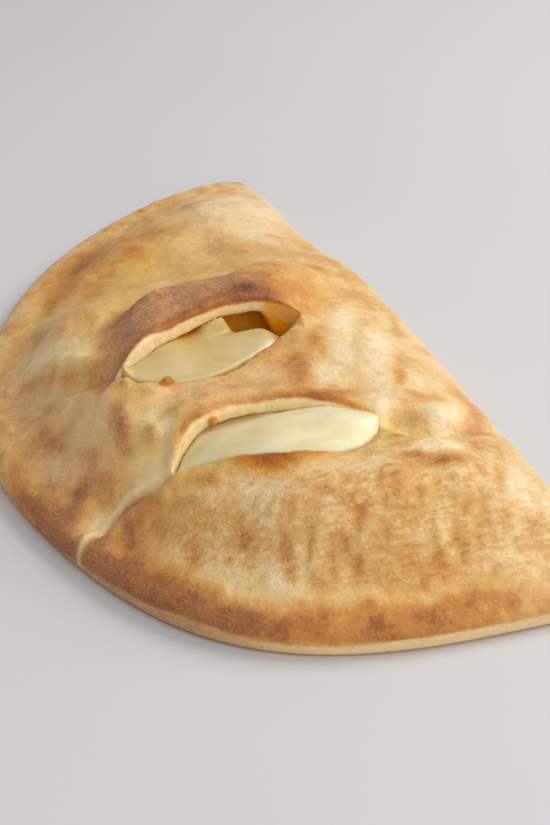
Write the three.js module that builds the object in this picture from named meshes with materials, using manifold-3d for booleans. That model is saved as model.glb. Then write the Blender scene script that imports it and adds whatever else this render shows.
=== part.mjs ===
// A calzone: a round of dough folded over melted cheese and baked, with two vents cut across its top.
// The dough is one closed shell, and the cheese that fills it is a second solid that shows in the vents.
//
// Millimetres, +Z up. The straight fold runs along X at the +Y side and the curved, pressed edge is at -Y.
// The origin is under the middle of the outline, on the flat underside.

import * as THREE from "three";
import { mergeVertices } from "three/addons/utils/BufferGeometryUtils.js";
import Module from "manifold-3d";

const wasm = await Module();
wasm.setup();

// ---------------------------------------------------------------- driving dimensions

const FOLD_Y = 76; // the fold, from the middle of the width
const ARC_CENTRE = { x: 8.6, y: 78.75 }; // centre of the round that was folded in two
const ARC_RADIUS = 155.5;
const CORNER = 17; // how far the rounding of a corner reaches along each side

const RIM_THICKNESS = 8.5; // the pressed edge: two layers of dough
const RIM_WIDTH = 11;
const RIM_CROWN = 0.8; // how much the rim rounds up between its edge and the dome
const EDGE = { waist: 0.48, above: 0.55, below: 0.3 }; // widest level and edge radii, as shares of the height
const SQUARENESS = 2.4; // of the rounded edges: 2 is a circle
const BEND = 10; // millimetres over which the rim bends up into the dome
const LUMPS_FROM = [4, 30]; // millimetres inside the curve where lumps start and have their full height
const CREASES_FROM = [2, 14]; // and creases
const DOME_HEIGHT = 34; // the filled top, before ridges and hollows
const REAR_DROP = 7; // how much lower the dome lies behind the middle vent
const DOME_REACH = 40; // from the rim to where the top is level
const REAR_REACH = 65; // the same at the rear, where it slopes gently
const RISE_POWER = 2.2; // how steeply the dome starts from the rim
const REAR_FROM = [-15, -75]; // x where the rear starts and where it is all rear
const FOLD_SHARE = 0.68; // the top's height at the fold, as a share of the dome's
const END_FOLD_SHARE = 0.4; // the same towards both ends of the fold
const END_FROM = [45, 110]; // x where the front end of the fold starts to sink and has sunk
const FOLD_REACH = 38; // from the fold to where its side is level
const FILLED_REACH = 24; // from the rim or the fold to where swellings and ridges have their full height

const CRUST = 5.5; // dough over the cheese
const FAT_LIP = { more: 1.5, reach: 6, ends: [1.2, 0.7] }; // more of it along the middle vent's far lip
const END_WALL = { deep: 9, from: 20, full: 25, x: 18, reach: 12 }; // and past that vent's +Y end
const FLOOR = 6; // dough under it
const SEAL = 22; // solid dough inside the curved edge
const FOLD_WALL = 10; // dough between the cheese and the fold
const POCKET_CORNER = 24; // how far the rounding of the hollow's corners reaches
const POCKET_EDGE = 12; // radius of the hollow's edge
const CREASE_SPARE = { more: 4.5, reach: 11 }; // extra dough under a crease, so that it doesn't break through
const CLEARANCE = 0.5; // between dough and cheese, measured upright

// How far the curved edge strays from a true arc: degrees round from -Y towards +X, millimetres outwards,
// degrees of spread.
const ARC_SWELLS = [
  { at: 46, out: 9.5, spread: 14 },
  { at: -88, out: 10.5, spread: 20 },
  { at: -56, out: -1, spread: 16 },
  { at: -24, out: -4, spread: 14 },
  { at: 84, out: -7, spread: 14 },
];
// The same for the fold: place along it, millimetres, millimetres of spread.
const FOLD_SWELLS = [
  { at: 58, out: -1.6, spread: 22 },
  { at: -92, out: -1.6, spread: 16 },
];

// The two open vents, cut across the top. Each runs from y0 to y1. Its two edges leave the chord from x0 to
// x1 by the bulges, and skew moves the widest place along it. The far lip stands over the dome in a ridge,
// whose level top is ridgeTop wide, more by ridgeSkew at the +Y end and less at the other. Past its +Y end
// the ridge widens by ridgeWiden and runs on by the share ridgeOn of the vent's half-length.
const VENTS = {
  middle: {
    y0: -33.5, y1: 30.2, x0: 31.5, x1: 21.7,
    far: { bulge: -10.7, skew: 0.5, round: 0.6 },
    near: { bulge: 11.3, skew: -0.62, round: 0.91 },
    ridge: 10, ridgeTop: 19.5, ridgeSkew: -8, ridgeFall: 14, ridgeWiden: 16, ridgeOn: 0.9,
  },
  front: {
    y0: -32.9, y1: 30.2, x0: 79, x1: 85,
    far: { bulge: -15.4, skew: -0.16, round: 0.76 },
    near: { bulge: 10.6, skew: 0.89, round: 0.7 },
    ridge: 4, ridgeTop: 6, ridgeSkew: 0, ridgeFall: 18, ridgeWiden: 0, ridgeOn: 0,
  },
};

const BLUNT_END = 0.8; // half the width of a vent at its ends
const VENT_FLOOR = 14; // height up to which a vent is cut
const RIDGE_DROP = [0.5, 8]; // how far in front of the far lip the ridge starts to go and has gone
const RIDGE_ENDS = [1.3, 0.55]; // shares of a vent's half-length where its ridge has gone and is full
const RIDGE_TAPER = 0.012; // less of that share for each millimetre behind the lip
const RIDGE_WIDENS = [0.4, 1.1]; // shares between which the ridge widens
const RIDGE_ON_REACH = 26; // how far behind the lip the ridge runs on in full

// Broad swellings and hollows of the top: place, half-widths along X and Y before the turn in degrees,
// height.
const SWELLS = [
  { x: -56, y: 6, wide: 15, long: 26, turn: 6, up: -7 }, // the hollow of the vent that closed
  { x: 50, y: -40, wide: 19, long: 14, turn: 0, up: 4 }, // side lobe between the creases
  { x: -32, y: -42, wide: 22, long: 13, turn: 10, up: 2 }, // side lobe behind the rear crease
  { x: 112, y: -6, wide: 13, long: 34, turn: -8, up: 2 }, // front lobe
  { x: 45, y: 44, wide: 20, long: 14, turn: 0, up: 2 }, // beside the fold
  { x: 6, y: 3, wide: 9, long: 5.5, turn: 0, up: 1.4 }, // rises along the middle vent's far lip
  { x: 13, y: 29, wide: 9, long: 6, turn: 0, up: 2 },
  { x: 79.5, y: 33.8, wide: 3.6, long: 4, turn: 0, up: 2.8 }, // bubbles past the end of the front vent
  { x: 91, y: 49.5, wide: 4.4, long: 4.2, turn: 15, up: 4 },
  { x: 92, y: -7, wide: 3, long: 11, turn: -21, up: 1.8 }, // browned lip of the front vent
  { x: 51, y: -42, wide: 4.5, long: 4.5, turn: 0, up: 1.4 }, // blisters of the side lobe
  { x: 32, y: -59, wide: 5, long: 4, turn: 0, up: 1.3 },
  { x: 61, y: -56, wide: 5, long: 4, turn: 0, up: 1.2 },
  { x: 65, y: -37, wide: 4, long: 4, turn: 0, up: 1 },
  { x: -84, y: 2, wide: 5, long: 7, turn: 0, up: 1.2 }, // and of the rear
  { x: -94, y: -12, wide: 5, long: 6, turn: 0, up: 1 },
];

// Creases that run on from the ends of the vents: places to pass, depth, and the half-widths of the gentle
// and the steep side. A roll of dough stands over the steep side, on the path's left where steepOn is 1.
const CREASES = [
  {
    path: [[30, -34.5], [23.5, -40], [19, -45], [12, -50], [3, -55], [-6, -61]],
    deep: 4, gentle: 5.6, steep: 2.6, roll: 2.4, steepOn: -1,
  },
  {
    path: [[78, -33], [75.5, -39.5], [72, -46.5], [72, -52.5], [76, -58.5], [81, -65]],
    deep: 4.2, gentle: 6.2, steep: 2.6, roll: 2, steepOn: 1,
  },
  {
    path: [
      [83.5, 30], [88.5, 34], [94.5, 37.5], [97.5, 43], [95.5, 50.5], [90, 59.5], [86, 67], [84.5, 73],
    ],
    deep: 3.4, gentle: 3.4, steep: 2.6, roll: 0.7, steepOn: -1,
  },
];

// Along a crease: where it starts to sink and is full, where it gets shallow and by how much, and where its
// roll stands and how wide, in half-widths of the steep side.
const CREASE_RUN = { sink: [-0.02, 0.1], fade: [0.7, 1], less: 0.55, rollAt: 2.4, rollHalf: 1.1 };

// The cheese in the middle vent: how far below the near lip it lies, how much it climbs to the far lip and
// more at the heap, how far it sags at the +Y end, the cave under the far lip and the strand that still
// sticks. Each over gives the y, or the x from the far lip, between which that comes in.
const MIDDLE_CHEESE = {
  below: 0.4, climb: 1.2, sag: 5, sagOver: [17, 28], behind: [17, 8],
  heap: { y: -16, half: 5, up: 2.6 },
  cave: { y: 16.5, level: 5, fade: 3.4, deep: 7, over: [6, -3] },
  strand: { y: 4, flat: 1.5, half: 3, up: 6.5, over: [4, -1] },
};
// In the front vent: how far below the far and near lips it starts, less of that at the +Y end, and how much
// it swells between them, more at that end.
const FRONT_CHEESE = {
  belowFar: 6.8, endLess: 5.6, endOver: [-14, 30], belowNear: 0.8, swell: 3.2, endMore: 0.4,
  behind: [9, 3],
};
const OPEN_PAST = [2, 8]; // how far past a near lip the cheese's free surface starts to end and has ended
const OPEN_ENDS = 6; // and past the ends of a vent

// Beads of browned cheese baked to the lips of the vents: place, and height over the top or below it.
const BEADS = [
  { x: 42.2, y: -22.2, radius: 2.2, over: 0.4 },
  { x: 67.7, y: -16.3, radius: 1.5, over: -3.8 },
];

// Fineness of the surfaces. Rays run from a bent spine to the outline: square to the long sides and fanned at
// the ends.
const SPINE = { half: 95, y: 4, bend: 20, spread: 125, perRay: 0.27 };
const RAYS = 132;
const TOP_INSETS = [0, 0.5, 1.5, 3.2, 5.6, 9, 13, 18, 24];
const BOTTOM_INSETS = [0.6, 2, 5, 9];
const INNER_RINGS = 12;
const POCKET_RAYS = 84;
const POCKET_TOP_INSETS = [0, 1.5, 5, 12];
const POCKET_BOTTOM_INSETS = [2, 8];
const POCKET_INNER_RINGS = 7;
const OUTLINE_CORNER = { x: 150, y: 66, wide: 10, long: 14, closer: 2 }; // where the rays stand closer
const VENT_STEPS = 22;
const AIR = { x0: -14, x1: 104, y0: -44, y1: 44, roof: 90, step: 3 }; // the block over the cheese

const CENTRE = { x: 0, y: 6 }; // every line from here meets the outline once
const FAR_OUT = 200;

// ---------------------------------------------------------------- small formulas

const clamp = (v, low, high) => Math.min(Math.max(v, low), high);
const smooth = (low, high, v) => {
  const t = clamp((v - low) / (high - low), 0, 1);
  return t * t * (3 - 2 * t);
};
const bell = (v) => Math.exp(-v * v / 2);
const softMin = (a, b, reach) => Math.min(a, b) - Math.max(reach - Math.abs(a - b), 0) ** 2 / (4 * reach);
const degrees = (radians) => radians * 180 / Math.PI;

// Shortest way from a point to a path, how far along the path it lands, from 0 to 1, and on which side the
// point is: 1 on the left.
function nearestOnPath(path, x, y) {
  let best = { gap: Infinity, at: 0, side: 1 };
  for (let i = 0; i + 1 < path.length; i++) {
    const [ax, ay] = path[i];
    const [dx, dy] = [path[i + 1][0] - ax, path[i + 1][1] - ay];
    const t = clamp(((x - ax) * dx + (y - ay) * dy) / (dx * dx + dy * dy), 0, 1);
    const gap = Math.hypot(x - ax - t * dx, y - ay - t * dy);
    const side = Math.sign(dx * (y - ay) - dy * (x - ax));
    if (gap < best.gap) best = { gap, at: (i + t) / (path.length - 1), side };
  }
  return best;
}

// ---------------------------------------------------------------- outline

function arcRadius(angle) {
  return ARC_SWELLS.reduce((r, s) => r + s.out * bell((angle - s.at) / s.spread), ARC_RADIUS);
}

function foldY(x) {
  return FOLD_SWELLS.reduce((y, s) => y + s.out * bell((x - s.at) / s.spread), FOLD_Y);
}

// How far inside the curved edge and inside the fold a point lies.
function edgeDistances(x, y) {
  const dx = x - ARC_CENTRE.x;
  const dy = ARC_CENTRE.y - y;
  const curve = arcRadius(degrees(Math.atan2(dx, dy))) - Math.hypot(dx, dy);
  return { curve, fold: foldY(x) - y };
}

function inside(x, y) {
  const { curve, fold } = edgeDistances(x, y);
  return softMin(curve, fold, CORNER);
}

// Distance from CENTRE along a ray to where the test reaches 0, by halving.
function reachOf(test, angle) {
  let [low, high] = [0, FAR_OUT];
  for (let i = 0; i < 40; i++) {
    const middle = (low + high) / 2;
    if (test(CENTRE.x + middle * Math.cos(angle), CENTRE.y + middle * Math.sin(angle)) > 0) low = middle;
    else high = middle;
  }
  return low;
}

// Points evenly along an outline, and closer in its corners.
function outlinePoints(test, count) {
  const samples = 1440;
  const points = Array.from({ length: samples + 1 }, (_, i) => {
    const angle = i / samples * 2 * Math.PI;
    const reach = reachOf(test, angle);
    return { angle, x: CENTRE.x + reach * Math.cos(angle), y: CENTRE.y + reach * Math.sin(angle) };
  });
  const run = [0];
  for (let i = 1; i <= samples; i++) {
    const [a, b] = [points[i - 1], points[i]];
    const corner = OUTLINE_CORNER;
    const nearCorner = bell((Math.abs(a.x) - corner.x) / corner.wide) * bell((a.y - corner.y) / corner.long);
    run.push(run[i - 1] + Math.hypot(b.x - a.x, b.y - a.y) * (1 + corner.closer * nearCorner));
  }
  return Array.from({ length: count }, (_, k) => {
    const goal = k / count * run[samples];
    const i = run.findIndex((v) => v > goal);
    const share = (goal - run[i - 1]) / (run[i] - run[i - 1]);
    const angle = points[i - 1].angle + share * (points[i].angle - points[i - 1].angle);
    const reach = reachOf(test, angle);
    return { x: CENTRE.x + reach * Math.cos(angle), y: CENTRE.y + reach * Math.sin(angle) };
  });
}

// ---------------------------------------------------------------- vents

// Place along a vent, from -1 at one end to 1 at the other, and the x of both its edges there.
function ventAt(vent, y) {
  const t = (2 * y - vent.y0 - vent.y1) / (vent.y1 - vent.y0);
  const chord = vent.x0 + (vent.x1 - vent.x0) * (t + 1) / 2;
  const edge = ({ bulge, skew, round }) => chord + bulge * (1 + skew * t) * Math.max(1 - t * t, 0) ** round;
  return { t, far: edge(vent.far), near: edge(vent.near) };
}

// The lip behind a vent stands up in a ridge, and falls away behind.
function ridgeHeight(vent, x, y) {
  const { t, far } = ventAt(vent, y);
  const behind = far - x;
  const wider = vent.ridgeSkew * clamp(t, -1, 1) + vent.ridgeWiden * smooth(...RIDGE_WIDENS, t);
  const level = vent.ridgeTop + wider;
  const across = 1 - smooth(level, level + vent.ridgeFall, behind);
  const on = t > 0 ? vent.ridgeOn * smooth(0, RIDGE_ON_REACH, behind) : 0;
  const [gone, full] = RIDGE_ENDS;
  const along = smooth(gone + on, full + on, Math.abs(t) + RIDGE_TAPER * Math.max(behind, 0));
  return vent.ridge * across * along * (1 - smooth(...RIDGE_DROP, -behind));
}

// ---------------------------------------------------------------- height of the top

function swellHeight({ x: sx, y: sy, wide, long, turn, up }, x, y) {
  const a = turn * Math.PI / 180;
  const u = (x - sx) * Math.cos(a) + (y - sy) * Math.sin(a);
  const v = (y - sy) * Math.cos(a) - (x - sx) * Math.sin(a);
  return up * bell(u / wide) * bell(v / long);
}

function creaseDepth({ path, deep, gentle, steep, roll, steepOn }, x, y) {
  const { gap, at, side } = nearestOnPath(path, x, y);
  const onSteep = side * steepOn > 0;
  const dip = deep * bell(gap / (onSteep ? steep : gentle));
  const { sink, fade, less, rollAt, rollHalf } = CREASE_RUN;
  const over = onSteep ? roll * bell((gap - rollAt * steep) / (rollHalf * steep)) : 0;
  return (dip - over) * smooth(...sink, at) * (1 - less * smooth(...fade, at));
}

// Gentle unevenness of hand-shaped dough.
function lumps(x, y) {
  return 0.55 * Math.sin(x / 9.3 + 1.6 * Math.sin(y / 17)) * Math.sin(y / 8.1 + 1.2 * Math.sin(x / 21))
    + 0.45 * Math.sin((x + y) / 6.4 + 2) * Math.sin((x - 1.4 * y) / 7.7);
}

// The top without its creases, as if the edge stood up square.
function plainTop(x, y) {
  const { curve, fold } = edgeDistances(x, y);
  const rear = smooth(...REAR_FROM, x);
  const reach = DOME_REACH + (REAR_REACH - DOME_REACH) * rear;
  const past = -softMin(RIM_WIDTH - curve, 0, BEND);
  const rise = 1 - Math.max(1 - past / reach, 0) ** RISE_POWER;
  const share = FOLD_SHARE + (END_FOLD_SHARE - FOLD_SHARE) * Math.max(rear, smooth(...END_FROM, x));
  const foldSide = share + (1 - share) * smooth(-4, FOLD_REACH, fold);
  const filled = smooth(RIM_WIDTH, RIM_WIDTH + FILLED_REACH, curve) * smooth(0, FILLED_REACH, fold);
  let z = RIM_THICKNESS + RIM_CROWN * bell((curve - 0.6 * RIM_WIDTH) / 4);
  z += (DOME_HEIGHT - REAR_DROP * rear - RIM_THICKNESS) * rise * foldSide;
  for (const swell of SWELLS) z += swellHeight(swell, x, y) * filled;
  for (const vent of Object.values(VENTS)) z += ridgeHeight(vent, x, y) * filled;
  return z;
}

function fullTop(x, y) {
  const { curve } = edgeDistances(x, y);
  let z = plainTop(x, y) + lumps(x, y) * smooth(...LUMPS_FROM, curve);
  for (const crease of CREASES) z -= creaseDepth(crease, x, y) * smooth(...CREASES_FROM, curve);
  return z;
}

// A rounded, slightly square edge: 0 at the outline and 1 once it is a radius inside.
const roundOff = (distance, radius) =>
  (1 - (1 - clamp(distance / radius, 0, 1)) ** SQUARENESS) ** (1 / SQUARENESS);

function outerTop(x, y) {
  const full = fullTop(x, y);
  const waist = EDGE.waist * full;
  return waist + (full - waist) * roundOff(inside(x, y), EDGE.above * full);
}

function outerBottom(x, y) {
  const full = fullTop(x, y);
  return EDGE.waist * full * (1 - roundOff(inside(x, y), EDGE.below * full));
}

// ---------------------------------------------------------------- the cheese's hollow

function insidePocket(x, y) {
  const { curve, fold } = edgeDistances(x, y);
  return softMin(curve - SEAL, fold - FOLD_WALL, POCKET_CORNER);
}

// The dough over the cheese is thicker along a crease, along the far lip of the middle vent and past its end.
function ceiling(x, y) {
  const nearCrease = ({ path }) => bell(nearestOnPath(path, x, y).gap / CREASE_SPARE.reach);
  const spare = CREASE_SPARE.more * Math.max(...CREASES.map(nearCrease));
  const { t, far } = ventAt(VENTS.middle, y);
  const lip = FAT_LIP.more * bell((far - x) / FAT_LIP.reach) * smooth(...FAT_LIP.ends, Math.abs(t));
  const past = smooth(END_WALL.from, END_WALL.full, y) * bell((x - END_WALL.x) / END_WALL.reach);
  return plainTop(x, y) - CRUST - spare - lip - END_WALL.deep * past;
}

function pocketTop(x, y, shrink) {
  const [low, high] = [FLOOR + shrink, ceiling(x, y) - shrink];
  const waist = (low + high) / 2;
  return waist + (high - waist) * roundOff(insidePocket(x, y) - shrink, POCKET_EDGE);
}

function pocketBottom(x, y, shrink) {
  const [low, high] = [FLOOR + shrink, ceiling(x, y) - shrink];
  const waist = (low + high) / 2;
  return waist - (waist - low) * roundOff(insidePocket(x, y) - shrink, POCKET_EDGE);
}

// Level of the cheese in the middle vent, at any x: about as high as the near lip.
function middleCheese(x, y, { far, near }) {
  const { below, climb, sag, sagOver, heap, cave, strand } = MIDDLE_CHEESE;
  const lipY = clamp(y, VENTS.middle.y0, cave.y / 2);
  const lip = plainTop(ventAt(VENTS.middle, lipY).near + 1, lipY) - below;
  const climbed = (climb + heap.up * bell((y - heap.y) / heap.half)) * smooth(near, far, x);
  const fromCave = Math.max(Math.abs(y - cave.y) - cave.level, 0);
  const sunk = cave.deep * bell(fromCave / cave.fade) * smooth(...cave.over, x - far);
  const fromStrand = Math.max(Math.abs(y - strand.y) - strand.flat, 0);
  const stuck = strand.up * bell(fromStrand / strand.half) * smooth(...strand.over, x - far);
  return lip + climbed - sunk - sag * smooth(...sagOver, y) + stuck;
}

// The cheese in the front vent swells out of the opening.
function frontCheese(x, y, { t, far, near }) {
  const { belowFar, endLess, endOver, belowNear, swell, endMore } = FRONT_CHEESE;
  const over = clamp((x - far) / Math.max(near - far, 1), 0, 1);
  const farLevel = plainTop(far - 1, y) - belowFar + endLess * smooth(...endOver, y);
  const nearLevel = plainTop(near + 1, y) - belowNear;
  const bulge = Math.sin(Math.PI * over) * Math.sqrt(Math.max(1 - t ** 2, 0));
  return farLevel + (nearLevel - farLevel) * over + swell * bulge * (1 + endMore * t);
}

// 1 where the cheese has a free surface at a vent, fading to 0 around it.
function openness(vent, { far, near }, [gone, full], x, y) {
  const across = smooth(gone, full, far - x) * (1 - smooth(...OPEN_PAST, x - near));
  const past = Math.max(vent.y0 - y, y - vent.y1);
  return across * (1 - smooth(0, OPEN_ENDS, past));
}

// Free surface of the cheese. Away from the vents it lies inside the dough, where the hollow cuts it off.
function cheeseTop(x, y) {
  const { middle, front } = VENTS;
  const atMiddle = ventAt(middle, clamp(y, middle.y0, middle.y1));
  const atFront = ventAt(front, clamp(y, front.y0, front.y1));
  const openMiddle = openness(middle, atMiddle, MIDDLE_CHEESE.behind, x, y);
  const openFront = openness(front, atFront, FRONT_CHEESE.behind, x, y);
  const hidden = plainTop(x, y) - CRUST / 2;
  const rear = hidden + (middleCheese(x, y, atMiddle) - hidden) * openMiddle;
  return rear + (frontCheese(x, y, atFront) - rear) * openFront;
}

// ---------------------------------------------------------------- solids

// A closed solid: rings of points from the spine, over the top, round the edge and back along the underside.
// test gives the outline, and top and bottom the heights. shrink draws the outline in.
function lens(test, top, bottom, { rays, topInsets, bottomInsets, innerRings, shrink = 0 }) {
  const spinePoints = Math.round(SPINE.perRay * rays);
  const spine = Array.from({ length: spinePoints }, (_, j) => {
    const s = 2 * j / (spinePoints - 1) - 1;
    return { x: SPINE.half * s, y: SPINE.y + SPINE.bend * s * s };
  });
  const rims = outlinePoints(test, rays).map((rim) => {
    const from = Math.round((clamp(rim.x / SPINE.spread, -1, 1) + 1) / 2 * (spinePoints - 1));
    const whole = Math.hypot(rim.x - spine[from].x, rim.y - spine[from].y);
    return { ...rim, from, whole, reach: whole - shrink };
  });
  const lastInset = topInsets[topInsets.length - 1];
  const rings = [
    ...Array.from({ length: innerRings - 1 }, (_, i) => ({ height: top, share: (i + 1) / innerRings })),
    ...topInsets.slice().reverse().map((inset) => ({ height: top, inset })),
    ...bottomInsets.map((inset) => ({ height: bottom, inset })),
  ];
  const positions = [];
  for (const height of [top, bottom]) {
    for (const { x, y } of spine) positions.push(x, y, height(x, y));
  }
  for (const { height, share, inset } of rings) {
    for (const rim of rims) {
      const start = spine[rim.from];
      const reach = share === undefined ? rim.reach - inset : share * (rim.reach - lastInset);
      const along = reach / rim.whole;
      const [x, y] = [start.x + along * (rim.x - start.x), start.y + along * (rim.y - start.y)];
      positions.push(x, y, height(x, y));
    }
  }

  const index = [];
  const at = (ring, k) => 2 * spinePoints + ring * rays + k % rays;
  for (let k = 0; k < rays; k++) {
    const [here, next] = [rims[k].from, rims[(k + 1) % rays].from];
    index.push(here, at(0, k), at(0, k + 1));
    if (next !== here) index.push(here, at(0, k + 1), next);
    for (let r = 0; r + 1 < rings.length; r++) {
      index.push(at(r, k), at(r + 1, k), at(r + 1, k + 1), at(r, k), at(r + 1, k + 1), at(r, k + 1));
    }
    const last = rings.length - 1;
    index.push(spinePoints + here, at(last, k + 1), at(last, k));
    if (next !== here) index.push(spinePoints + here, spinePoints + next, at(last, k + 1));
  }
  return solidFrom(new THREE.BufferGeometry()
    .setAttribute("position", new THREE.Float32BufferAttribute(positions, 3)).setIndex(index));
}

function solidFrom(geometry) {
  const bare = geometry.clone();
  bare.deleteAttribute("normal");
  bare.deleteAttribute("uv");
  const merged = mergeVertices(bare, 1e-4);
  return new wasm.Manifold(new wasm.Mesh({
    numProp: 3,
    vertProperties: new Float32Array(merged.attributes.position.array),
    triVerts: new Uint32Array(merged.index.array),
  }));
}

function geometryFrom(solid) {
  const mesh = solid.getMesh();
  const geometry = new THREE.BufferGeometry()
    .setAttribute("position", new THREE.BufferAttribute(new Float32Array(mesh.vertProperties), 3))
    .setIndex(new THREE.BufferAttribute(new Uint32Array(mesh.triVerts), 1));
  geometry.computeVertexNormals();
  return geometry;
}

function outerSkin() {
  return lens(inside, outerTop, outerBottom,
    { rays: RAYS, topInsets: TOP_INSETS, bottomInsets: BOTTOM_INSETS, innerRings: INNER_RINGS });
}

function pocket(shrink) {
  return lens(insidePocket, (x, y) => pocketTop(x, y, shrink), (x, y) => pocketBottom(x, y, shrink), {
    rays: POCKET_RAYS, topInsets: POCKET_TOP_INSETS, bottomInsets: POCKET_BOTTOM_INSETS,
    innerRings: POCKET_INNER_RINGS, shrink,
  });
}

// A column through the dough with a vent's eye-shaped outline, from inside the cheese to clear of the top.
function ventColumn(vent, shrink) {
  const middle = (vent.y0 + vent.y1) / 2;
  const half = (vent.y1 - vent.y0) / 2 - 2 * shrink;
  const across = Array.from({ length: VENT_STEPS + 1 }, (_, i) => {
    const y = middle - half * Math.cos(i / VENT_STEPS * Math.PI);
    const { far, near } = ventAt(vent, y);
    return { y, x: (far + near) / 2, width: Math.max((near - far) / 2, BLUNT_END) - shrink };
  });
  const nearSide = across.map(({ x, y, width }) => new THREE.Vector2(x + width, y));
  const farSide = across.map(({ x, y, width }) => new THREE.Vector2(x - width, y));
  const outline = new THREE.Shape([...nearSide, ...farSide.reverse()]);
  const column = new THREE.ExtrudeGeometry(outline, { depth: AIR.roof - VENT_FLOOR, bevelEnabled: false });
  return solidFrom(column.translate(0, 0, VENT_FLOOR));
}

// The air over the cheese, as a block whose underside is the cheese's free surface.
function air() {
  const { x0, x1, y0, y1, roof, step } = AIR;
  const [nx, ny] = [Math.round((x1 - x0) / step), Math.round((y1 - y0) / step)];
  const block = new THREE.BoxGeometry(x1 - x0, y1 - y0, 1, nx, ny, 1);
  block.translate((x0 + x1) / 2, (y0 + y1) / 2, 0);
  const position = block.attributes.position;
  for (let i = 0; i < position.count; i++) {
    position.setZ(i, position.getZ(i) > 0 ? roof : cheeseTop(position.getX(i), position.getY(i)));
  }
  return solidFrom(block);
}

function bead({ x, y, radius, over }, more = 0) {
  const ball = new THREE.IcosahedronGeometry(radius + more, 1);
  return solidFrom(ball.translate(x, y, outerTop(x, y) + over));
}

function doughSolid() {
  let dough = outerSkin().subtract(pocket(0));
  for (const vent of Object.values(VENTS)) dough = dough.subtract(ventColumn(vent, 0));
  for (const place of BEADS) dough = dough.add(bead(place));
  return dough;
}

function cheeseSolid() {
  let cheese = pocket(CLEARANCE);
  for (const vent of Object.values(VENTS)) cheese = cheese.add(ventColumn(vent, CLEARANCE));
  for (const place of BEADS) cheese = cheese.subtract(bead(place, CLEARANCE));
  return cheese.subtract(air());
}

// ---------------------------------------------------------------- the part

const doughMaterial = new THREE.MeshStandardMaterial({ color: 0xd9a868, roughness: 0.78, metalness: 0 });
const cheeseMaterial = new THREE.MeshStandardMaterial({ color: 0xe9dcae, roughness: 0.32, metalness: 0 });

const dough = new THREE.Mesh(geometryFrom(doughSolid()), doughMaterial);
dough.name = "dough";

const cheese = new THREE.Mesh(geometryFrom(cheeseSolid()), cheeseMaterial);
cheese.name = "cheese";

const calzone = new THREE.Group();
calzone.add(dough, cheese);

export default calzone;
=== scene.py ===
"""The looks of a baked calzone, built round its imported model.

The outline, the heights and the vents are worked out again from the model's driving dimensions, with the
blisters, dimples and rounded lips of a real crust. Shape is in millimetres until a mesh is made.
"""

import math
from types import SimpleNamespace

import bpy
import numpy as np
from mathutils import Matrix, Vector


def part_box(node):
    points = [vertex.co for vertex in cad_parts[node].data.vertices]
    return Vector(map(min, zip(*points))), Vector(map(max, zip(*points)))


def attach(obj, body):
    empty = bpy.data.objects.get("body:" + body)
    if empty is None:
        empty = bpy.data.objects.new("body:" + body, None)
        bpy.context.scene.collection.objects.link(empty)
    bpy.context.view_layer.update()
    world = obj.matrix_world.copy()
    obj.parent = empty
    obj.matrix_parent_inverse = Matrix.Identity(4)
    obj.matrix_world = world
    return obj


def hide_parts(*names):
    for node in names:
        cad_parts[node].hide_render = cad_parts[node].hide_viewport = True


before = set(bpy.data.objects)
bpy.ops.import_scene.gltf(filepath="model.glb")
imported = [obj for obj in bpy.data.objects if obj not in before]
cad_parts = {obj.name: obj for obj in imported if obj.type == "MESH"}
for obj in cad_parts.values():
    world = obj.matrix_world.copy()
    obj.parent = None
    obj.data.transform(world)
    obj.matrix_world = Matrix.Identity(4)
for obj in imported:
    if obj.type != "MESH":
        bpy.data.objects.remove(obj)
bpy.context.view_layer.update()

# ======== driving dimensions, millimetres

FOLD_Y = 76.0
ARC_CENTRE = (8.6, 78.75)
ARC_RADIUS = 155.5
CORNER = 17.0

RIM_THICKNESS = 8.5
RIM_WIDTH = 11.0
RIM_CROWN = 0.8
EDGE_WAIST, EDGE_ABOVE, EDGE_BELOW = 0.48, 0.55, 0.3  # widest level and edge radii, as shares of the height
SQUARENESS = 2.4  # of the rounded edges: 2 is a circle
BEND = 10.0  # over which the rim turns up into the dome
DOME_HEIGHT = 34.0
REAR_DROP = 7.0
DOME_REACH = 40.0  # from the rim to the full height, and the same at the rear
REAR_REACH = 65.0
RISE_POWER = 2.2
REAR_FROM = (-15.0, -75.0)
FOLD_SHARE = 0.68  # of the dome's height at the fold, and the same at the fold's ends
END_FOLD_SHARE = 0.4
END_FROM = (45.0, 110.0)
FOLD_REACH = 38.0
FILLED_REACH = 24.0

CRUST = 5.5
FAT_LIP = dict(more=1.5, reach=6.0, ends=(1.2, 0.7))  # thicker crust at the middle vent's far lip
END_WALL = dict(deep=9.0, y=(20.0, 25.0), x=18.0, reach=12.0)  # dough that hangs down past that vent's end
FLOOR = 6.0
SEAL = 22.0  # solid dough round the curved edge, and the wall along the fold
FOLD_WALL = 10.0
POCKET_CORNER = 24.0
POCKET_EDGE = 12.0
CREASE_SPARE = (4.5, 11.0)  # extra dough under a crease and how far it reaches

# Degrees round the curved edge from -Y towards +X, millimetres outwards, degrees of spread.
ARC_SWELLS = [(46, 9.5, 14), (-88, 10.5, 20), (-56, -1, 16), (-24, -4, 14), (84, -7, 14)]
# Place along the fold, millimetres outwards, millimetres of spread.
FOLD_SWELLS = [(58, -1.6, 22), (-92, -1.6, 16)]

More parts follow.
